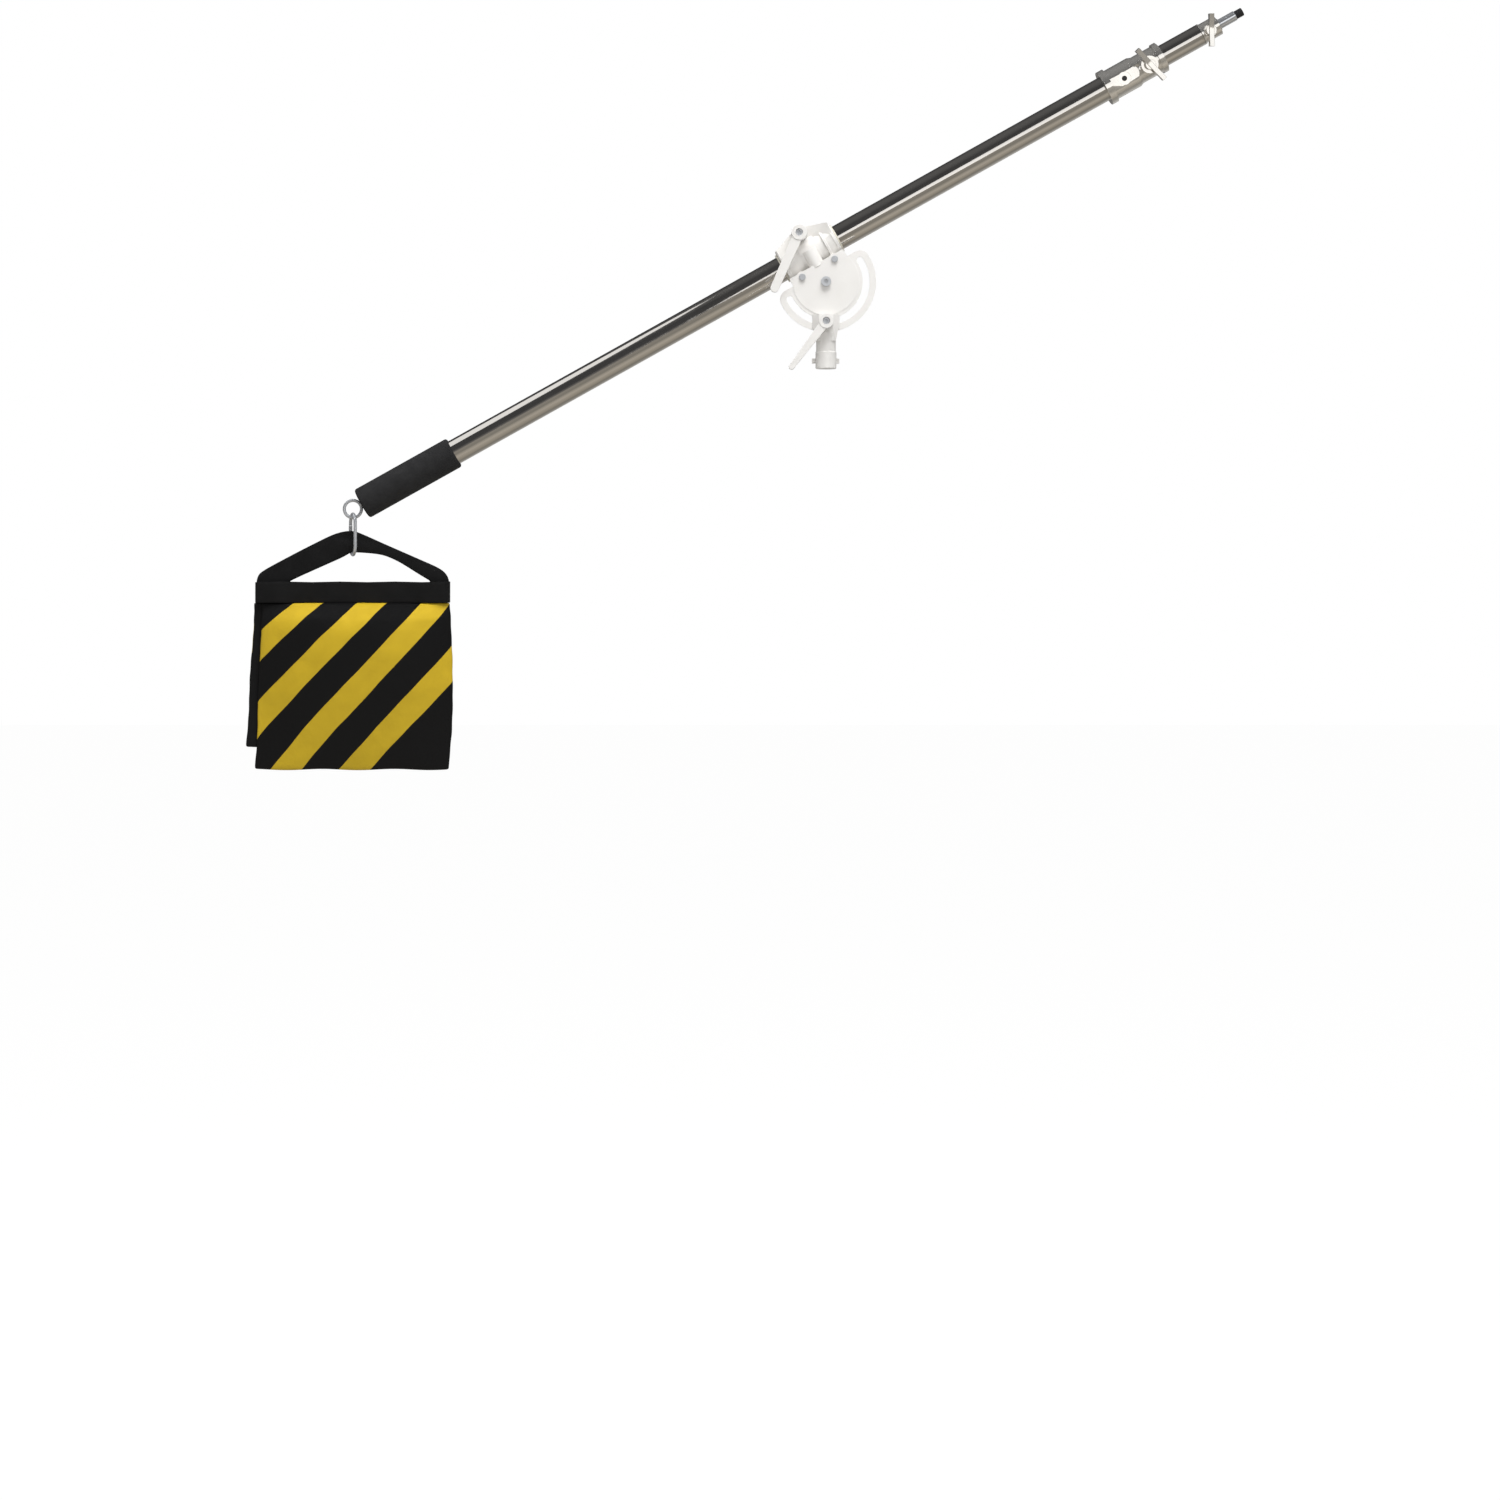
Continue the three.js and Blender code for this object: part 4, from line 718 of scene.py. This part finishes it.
# The bag's handle is a broad strap of black webbing. It runs over the hook's bottom bend, and its
# ends are sewn down over the saddle band that joins the two pouches. Each station gives the x and z
# of the strap's upper and lower edge.
strap_middle = 0.02485
strap_thickness = 0.0022
strap_lanes = 6
strap_crown = 0.0006
strap_curl = 0.0022
curl_station = 9.5
curl_spread = 2.2
strap_stations = [
    ((-0.71130, -0.2720), (-0.67000, -0.2720)),
    ((-0.71160, -0.2645), (-0.67000, -0.2645)),
    ((-0.70950, -0.2560), (-0.66580, -0.2625)),
    ((-0.70350, -0.2506), (-0.65660, -0.2581)),
    ((-0.67790, -0.2369), (-0.63420, -0.2481)),
    ((-0.65300, -0.2238), (-0.61300, -0.2387)),
    ((-0.63420, -0.2144), (-0.60180, -0.2337)),
    ((-0.61800, -0.2063), (-0.59500, -0.2294)),
    ((-0.60680, -0.2025), (-0.59200, -0.2283)),
    ((-0.59680, -0.2008), (-0.59040, -0.2282)),
    ((-0.59000, -0.2010), (-0.58800, -0.2282)),
    ((-0.58430, -0.2025), (-0.58550, -0.2283)),
    ((-0.57180, -0.2079), (-0.57430, -0.2288)),
    ((-0.55680, -0.2148), (-0.55430, -0.2306)),
    ((-0.53930, -0.2225), (-0.54180, -0.2356)),
    ((-0.51930, -0.2312), (-0.53050, -0.2412)),
    ((-0.49930, -0.2400), (-0.51680, -0.2500)),
    ((-0.48180, -0.2475), (-0.50300, -0.2587)),
    ((-0.47280, -0.2550), (-0.49600, -0.2625)),
    ((-0.46960, -0.2645), (-0.49400, -0.2645)),
    ((-0.46990, -0.2720), (-0.49400, -0.2720)),
]

# Woven cloth: a height of crossing threads, in the object's own coordinates, on any side of the bag
woven, woven_in, woven_out = effect_group("woven_cloth", {"Pitch": 0.0012}, ["Height"])
thread_place = shader_node(woven, "TexCoord")
thread_split = shader_node(woven, "SeparateXYZ")
thread_across = shader_node(woven, "Math", operation="ADD")
turns = shader_node(woven, "Math", {0: 2 * math.pi}, operation="DIVIDE")
warp_angle = shader_node(woven, "Math", operation="MULTIPLY")
weft_angle = shader_node(woven, "Math", operation="MULTIPLY")
warp = shader_node(woven, "Math", operation="SINE")
weft = shader_node(woven, "Math", operation="SINE")
crossing = shader_node(woven, "Math", operation="MULTIPLY")
raised = shader_node(woven, "Math", {1: 0.5, 2: 0.5}, operation="MULTIPLY_ADD")
link(thread_place, "Object", thread_split, "Vector")
link(thread_split, "X", thread_across, 0)
link(thread_split, "Y", thread_across, 1)
link(woven_in, "Pitch", turns, 1)
link(thread_across, "Value", warp_angle, 0)
link(turns, "Value", warp_angle, 1)
link(thread_split, "Z", weft_angle, 0)
link(turns, "Value", weft_angle, 1)
link(warp_angle, "Value", warp, 0)
link(weft_angle, "Value", weft, 0)
link(warp, "Value", crossing, 0)
link(weft, "Value", crossing, 1)
link(crossing, "Value", raised, 0)
link(raised, "Value", woven_out, "Height")


def cloth_finish(name, roughness, dark, light, patch_scale, pitch, thread_depth, thread_strength=0.5):
    """A woven cloth with patchy colour; returns the nodes that a printed and creased cloth adds to."""
    made, tree, shader = new_finish(name, 0, roughness)
    shader.inputs["Specular IOR Level"].default_value = 0.25
    patches = use_group(tree, surface_grain, {"Patch Scale": patch_scale})
    threads = use_group(tree, woven, {"Pitch": pitch})
    colour = shader_node(tree, "Mix", {colour_a: dark, colour_b: light}, data_type="RGBA")
    thread_bump = shader_node(tree, "Bump", {"Strength": thread_strength, "Distance": thread_depth})
    link(patches, "Patches", colour, 0)
    link(colour, colour_out, shader, "Base Color")
    link(threads, "Height", thread_bump, "Height")
    link(thread_bump, "Normal", shader, "Normal")
    return made, shader, patches, colour, thread_bump


def face_outwards():
    """Turns the active piece's faces outwards."""
    edit_all()
    bpy.ops.mesh.normals_make_consistent(inside=False)
    bpy.ops.object.mode_set(mode="OBJECT")


webbing = cloth_finish(
    "black_webbing", 0.72, (0.004, 0.004, 0.0042, 1), (0.012, 0.012, 0.0125, 1), patch_scale=35,
    pitch=0.0016, thread_depth=0.00025, thread_strength=0.7,
)[0]
last_station = len(strap_stations) - 1
strap = start_piece(
    "handle_strap_finished", bpy.ops.mesh.primitive_grid_add,
    x_subdivisions=last_station, y_subdivisions=strap_lanes, size=1,
)
for vertex in strap.data.vertices:
    station = round((vertex.co.x + 0.5) * last_station)
    lane = vertex.co.y + 0.5
    (upper_x, upper_z), (lower_x, lower_z) = strap_stations[station]
    curl = strap_curl * math.exp(-(((station - curl_station) / curl_spread) ** 2))
    bow = -strap_crown * math.sin(math.pi * lane) - curl * math.sin(2 * math.pi * lane)
    vertex.co = (
        lower_x + (upper_x - lower_x) * lane,
        strap_middle + bow,
        lower_z + (upper_z - lower_z) * lane,
    )
modify(strap, "SOLIDIFY", thickness=strap_thickness, offset=0)
modify(strap, "SUBSURF", levels=2, render_levels=2)
face_outwards()
bpy.ops.object.shade_smooth()
fit(strap, "bag", "black_webbing", webbing, "handle_strap")

# The saddle band is a doubled strip of black cloth. It binds the tops of the two pouches together
# and waves a little along its length.
band_rear_x = -0.7116
band_front_x = -0.4696
band_top = -0.26479
band_foot = -0.29079
band_depth = 0.018
band_edge = 0.0005
band_thinned = 0.93
band_wave = 0.05
band_top_wave = 0.0004
band = start_piece(
    "saddle_band_finished", bpy.ops.mesh.primitive_cube_add,
    scale=(band_front_x - band_rear_x, band_depth, band_top - band_foot),
    size=1, location=((band_rear_x + band_front_x) / 2, strap_middle, (band_top + band_foot) / 2),
)
edit_all()
bpy.ops.mesh.bevel(offset=band_edge, segments=2, affect="EDGES")
bpy.ops.mesh.subdivide(number_cuts=6)
bpy.ops.object.mode_set(mode="OBJECT")
for vertex in band.data.vertices:
    x, y, z = vertex.co
    wave = math.sin(x * 61) + 0.6 * math.sin(x * 143 + z * 120)
    vertex.co.y = strap_middle + (y - strap_middle) * (band_thinned + band_wave * wave)
    vertex.co.z = z + band_top_wave * math.sin(x * 90) * (z - band_foot) / (band_top - band_foot)
select_only(band)
bpy.ops.object.shade_smooth()
fit(band, "bag", "black_webbing", webbing, "saddle_band")

# Each pouch is two panels of striped woven cloth, sewn round the edge and filled with sand. It is laid
# out flat, shaped as the sand fills it, and swelled by a short cloth simulation with its seams held.
pouch_columns = 52
pouch_rows = 48
pouch_gap = 0.0004
pouch_top_gap = 0.0001
panels_apart = 0.1
fold_length = 0.011
seam_share = 0.012
flat_share = 0.02
top_nearness = 0.9
side_fill = 0.2
depth_most = 0.0315
gather_depth = 0.0012
gather_place = 0.016
gather_spread = 0.014
dent_depth = 0.0009
side_sway = 0.0006
side_ripple = 0.0002
foot_wave = 0.0008
sand_pressure = 4
sand_steps = 20
swell_most = 0.005
top_join = 0.00005
top_reach = 0.008
corner_fold = 0.024
corner_slope = 0.9
twin_facing = -0.3

# Outlines of the pouches: the share of the height, and x of the left and of the right edge there
front_outline = [
    (0, -0.7035, -0.4700),
    (0.35, -0.7065, -0.4650),
    (0.80, -0.7105, -0.4665),
    (1, -0.7130, -0.4700),
]
rear_outline = [(0, -0.7136, -0.4800), (1, -0.7244, -0.4880)]

# How far down the cloth falls, and how deep the sand lies, by the length along the outer panel
cloth_to_height = [(0, 0), (0.030, 0.020), (0.046, 0.035)]
fill_along = [
    (0, 0.009),
    (0.012, 0.017),
    (0.030, 0.0285),
    (0.046, 0.031),
    (0.07, 0.031),
    (0.12, 0.026),
    (0.17, 0.017),
    (0.205, 0.010),
    (0.2195, 0.006),
]

# Stripes: their lean and widths, where plain black begins past them, and how the left edge is pulled
stripe_lean = math.radians(49.15)
stripe_period = 0.0632
stripe_yellow = 0.0292
stripe_blur = 0.0002
stripes_end = stripe_period + stripe_yellow + 0.005
stripe_pull = [(0, 0.014), (0.1, 0.006), (0.25, -0.002), (0.5, -0.0055), (0.75, -0.0065), (1, 0.003)]

striped, shader, patches, yellow, thread_bump = cloth_finish(
    "striped_cloth", 0.6, (0.50, 0.335, 0.014, 1), (0.62, 0.425, 0.020, 1), patch_scale=42,
    pitch=0.0011, thread_depth=0.00012,
)
tree = striped.node_tree
layout = shader_node(tree, "UVMap", uv_map="flat_cloth")
layout_split = shader_node(tree, "SeparateXYZ")
run = shader_node(tree, "Math", {1: math.sin(stripe_lean)}, operation="MULTIPLY")
drop = shader_node(tree, "Math", {1: math.cos(stripe_lean)}, operation="MULTIPLY")
across_stripes = shader_node(tree, "Math", operation="ADD")
in_period = shader_node(tree, "Math", {1: stripe_period}, operation="FLOORED_MODULO")
is_black = shader_node(
    tree, "MapRange", {"From Min": stripe_yellow - stripe_blur, "From Max": stripe_yellow + stripe_blur}
)
is_start = shader_node(
    tree, "MapRange", {"From Min": 0.0, "From Max": 2 * stripe_blur, "To Min": 1, "To Max": 0}
)
is_past = shader_node(tree, "Math", {1: stripes_end}, operation="GREATER_THAN")
black_edge = shader_node(tree, "Math", operation="MAXIMUM")
black_share = shader_node(tree, "Math", operation="MAXIMUM")
stripe_colour = shader_node(tree, "Mix", {colour_b: (0.006, 0.006, 0.0064, 1)}, data_type="RGBA")
crease_bump = shader_node(tree, "Bump", {"Strength": 0.5, "Distance": 0.0025})
link(layout, "UV", layout_split, "Vector")
link(layout_split, "X", run, 0)
link(layout_split, "Y", drop, 0)
link(run, "Value", across_stripes, 0)
link(drop, "Value", across_stripes, 1)
link(across_stripes, "Value", in_period, 0)
link(in_period, "Value", is_black, "Value")
link(in_period, "Value", is_start, "Value")
link(across_stripes, "Value", is_past, 0)
link(is_black, "Result", black_edge, 0)
link(is_start, "Result", black_edge, 1)
link(black_edge, "Value", black_share, 0)
link(is_past, "Value", black_share, 1)
link(yellow, colour_out, stripe_colour, colour_a)
link(black_share, "Value", stripe_colour, 0)
link(stripe_colour, colour_out, shader, "Base Color")
link(patches, "Patches", crease_bump, "Height")
link(crease_bump, "Normal", thread_bump, "Normal")

lining = cloth_finish(
    "black_cloth", 0.75, (0.005, 0.005, 0.0052, 1), (0.010, 0.010, 0.0105, 1), patch_scale=22,
    pitch=0.0011, thread_depth=0.00012,
)[0]


def between(table, value):
    """Reads a value between the rows of a short table."""
    for (a, low), (b, high) in zip(table, table[1:]):
        if value <= b:
            return low + (high - low) * (value - a) / (b - a)
    return table[-1][1]


def lay_out(pouch, side, height, outline, stripe_start):
    """Gives a flat pouch its outline and its fill, marks its seam and lays the stripes on it."""
    seam = pouch.vertex_groups.new(name="seam")
    inner = strap_middle + side * pouch_gap
    cloth_height = height + fold_length
    cloth_fall = cloth_to_height + [(cloth_height, height)]
    left_edge = [(share, x) for share, x, _ in outline]
    right_edge = [(share, x) for share, _, x in outline]
    for vertex in pouch.data.vertices:
        across, down, outer = vertex.co.x, 0.5 - vertex.co.y, vertex.co.z > 0
        length = down * cloth_height
        crown = side_fill + (1 - side_fill) * (1 - abs(2 * across) ** 3)
        depth = between(fill_along, length * fill_along[-1][0] / cloth_height) * crown if outer else 0
        from_edge = min(0.5 - abs(across), down * top_nearness, 1 - down)
        if outer and from_edge > flat_share:
            gathers = gather_depth * math.sin(41 * across + 3 * math.sin(9 * across))
            gathers *= math.exp(-(((length - gather_place) / gather_spread) ** 2))
            dents = dent_depth * math.sin(8 * across + 2) * math.sin(9 * down + 1)
            depth = min(depth + gathers + dents, depth_most)
        left = between(left_edge, down)
        right = between(right_edge, down)
        sway = side_sway * math.sin(11 * down + 2 * across) + side_ripple * math.sin(47 * down + 5 * across)
        fall = between(cloth_fall, length) + foot_wave * down * math.sin(17 * across + 1)
        vertex.co = (
            left + (right - left) * (across + 0.5) + sway,
            inner + side * depth,
            band_foot - pouch_top_gap - fall,
        )
        if from_edge < seam_share:
            seam.add([vertex.index], 1.0, "REPLACE")
    flat_cloth = pouch.data.uv_layers[0]
    flat_cloth.name = "flat_cloth"
    _, top_left, top_right = outline[0]
    for corner in flat_cloth.data:
        u, v = corner.uv
        pulled = (1 - u) * between(stripe_pull, 1 - v)
        flat_x = top_left + (top_right - top_left) * u - stripe_start
        corner.uv = (flat_x - pulled, between(cloth_fall, (1 - v) * cloth_height))


def swell(pouch, side):
    """Swells a pouch a little, as its sand does, with its seams held and its back kept off its twin."""
    inner = strap_middle + side * pouch_gap
    before = [vertex.co.copy() for vertex in pouch.data.vertices]
    cloth = pouch.modifiers.new("sand", "CLOTH")
    cloth.settings.use_pressure = True
    cloth.settings.uniform_pressure_force = sand_pressure
    cloth.settings.effector_weights.gravity = 0
    cloth.settings.vertex_group_mass = "seam"
    cloth.settings.quality = 6
    for step in range(1, sand_steps + 1):
        bpy.context.scene.frame_set(step)
    bpy.ops.object.modifier_apply(modifier="sand")
    bpy.context.scene.frame_set(1)
    for vertex, start in zip(pouch.data.vertices, before):
        move = vertex.co - start
        if move.length > swell_most:
            vertex.co = start + move * (swell_most / move.length)
        if side * (vertex.co.y - inner) < 0:
            vertex.co.y = inner


def sew_pouch(node, side, height, outline, stripe_start):
    """Lays out, swells and lines one pouch; side is -1 for the one towards the camera."""
    pouch = start_piece(
        node + "_finished", bpy.ops.mesh.primitive_grid_add,
        x_subdivisions=pouch_columns, y_subdivisions=pouch_rows, size=1,
    )
    modify(pouch, "SOLIDIFY", thickness=panels_apart, offset=0)
    lay_out(pouch, side, height, outline, stripe_start)
    face_outwards()
    swell(pouch, side)
    modify(pouch, "SUBSURF", levels=1, render_levels=1)
    top = max(vertex.co.z for vertex in pouch.data.vertices)
    for vertex in pouch.data.vertices:
        vertex.co.z += (band_foot - top_join - top) * max(0, 1 - (top - vertex.co.z) / top_reach)
    bpy.ops.object.shade_smooth()
    pouch.vertex_groups.clear()
    fit(pouch, node, "striped_cloth", striped, node)
    pouch.data.materials.append(lining)
    for face in pouch.data.polygons:
        faces_twin = side * face.normal.y < twin_facing
        from_corner = (face.center.x - outline[0][1]) + corner_slope * (band_foot - face.center.z)
        face.material_index = int(faces_twin or (side < 0 and from_corner < corner_fold))


sew_pouch("front_pouch", side=-1, height=0.2085, outline=front_outline, stripe_start=-0.5073)
sew_pouch("rear_pouch", side=1, height=0.181, outline=rear_outline, stripe_start=-0.5263)
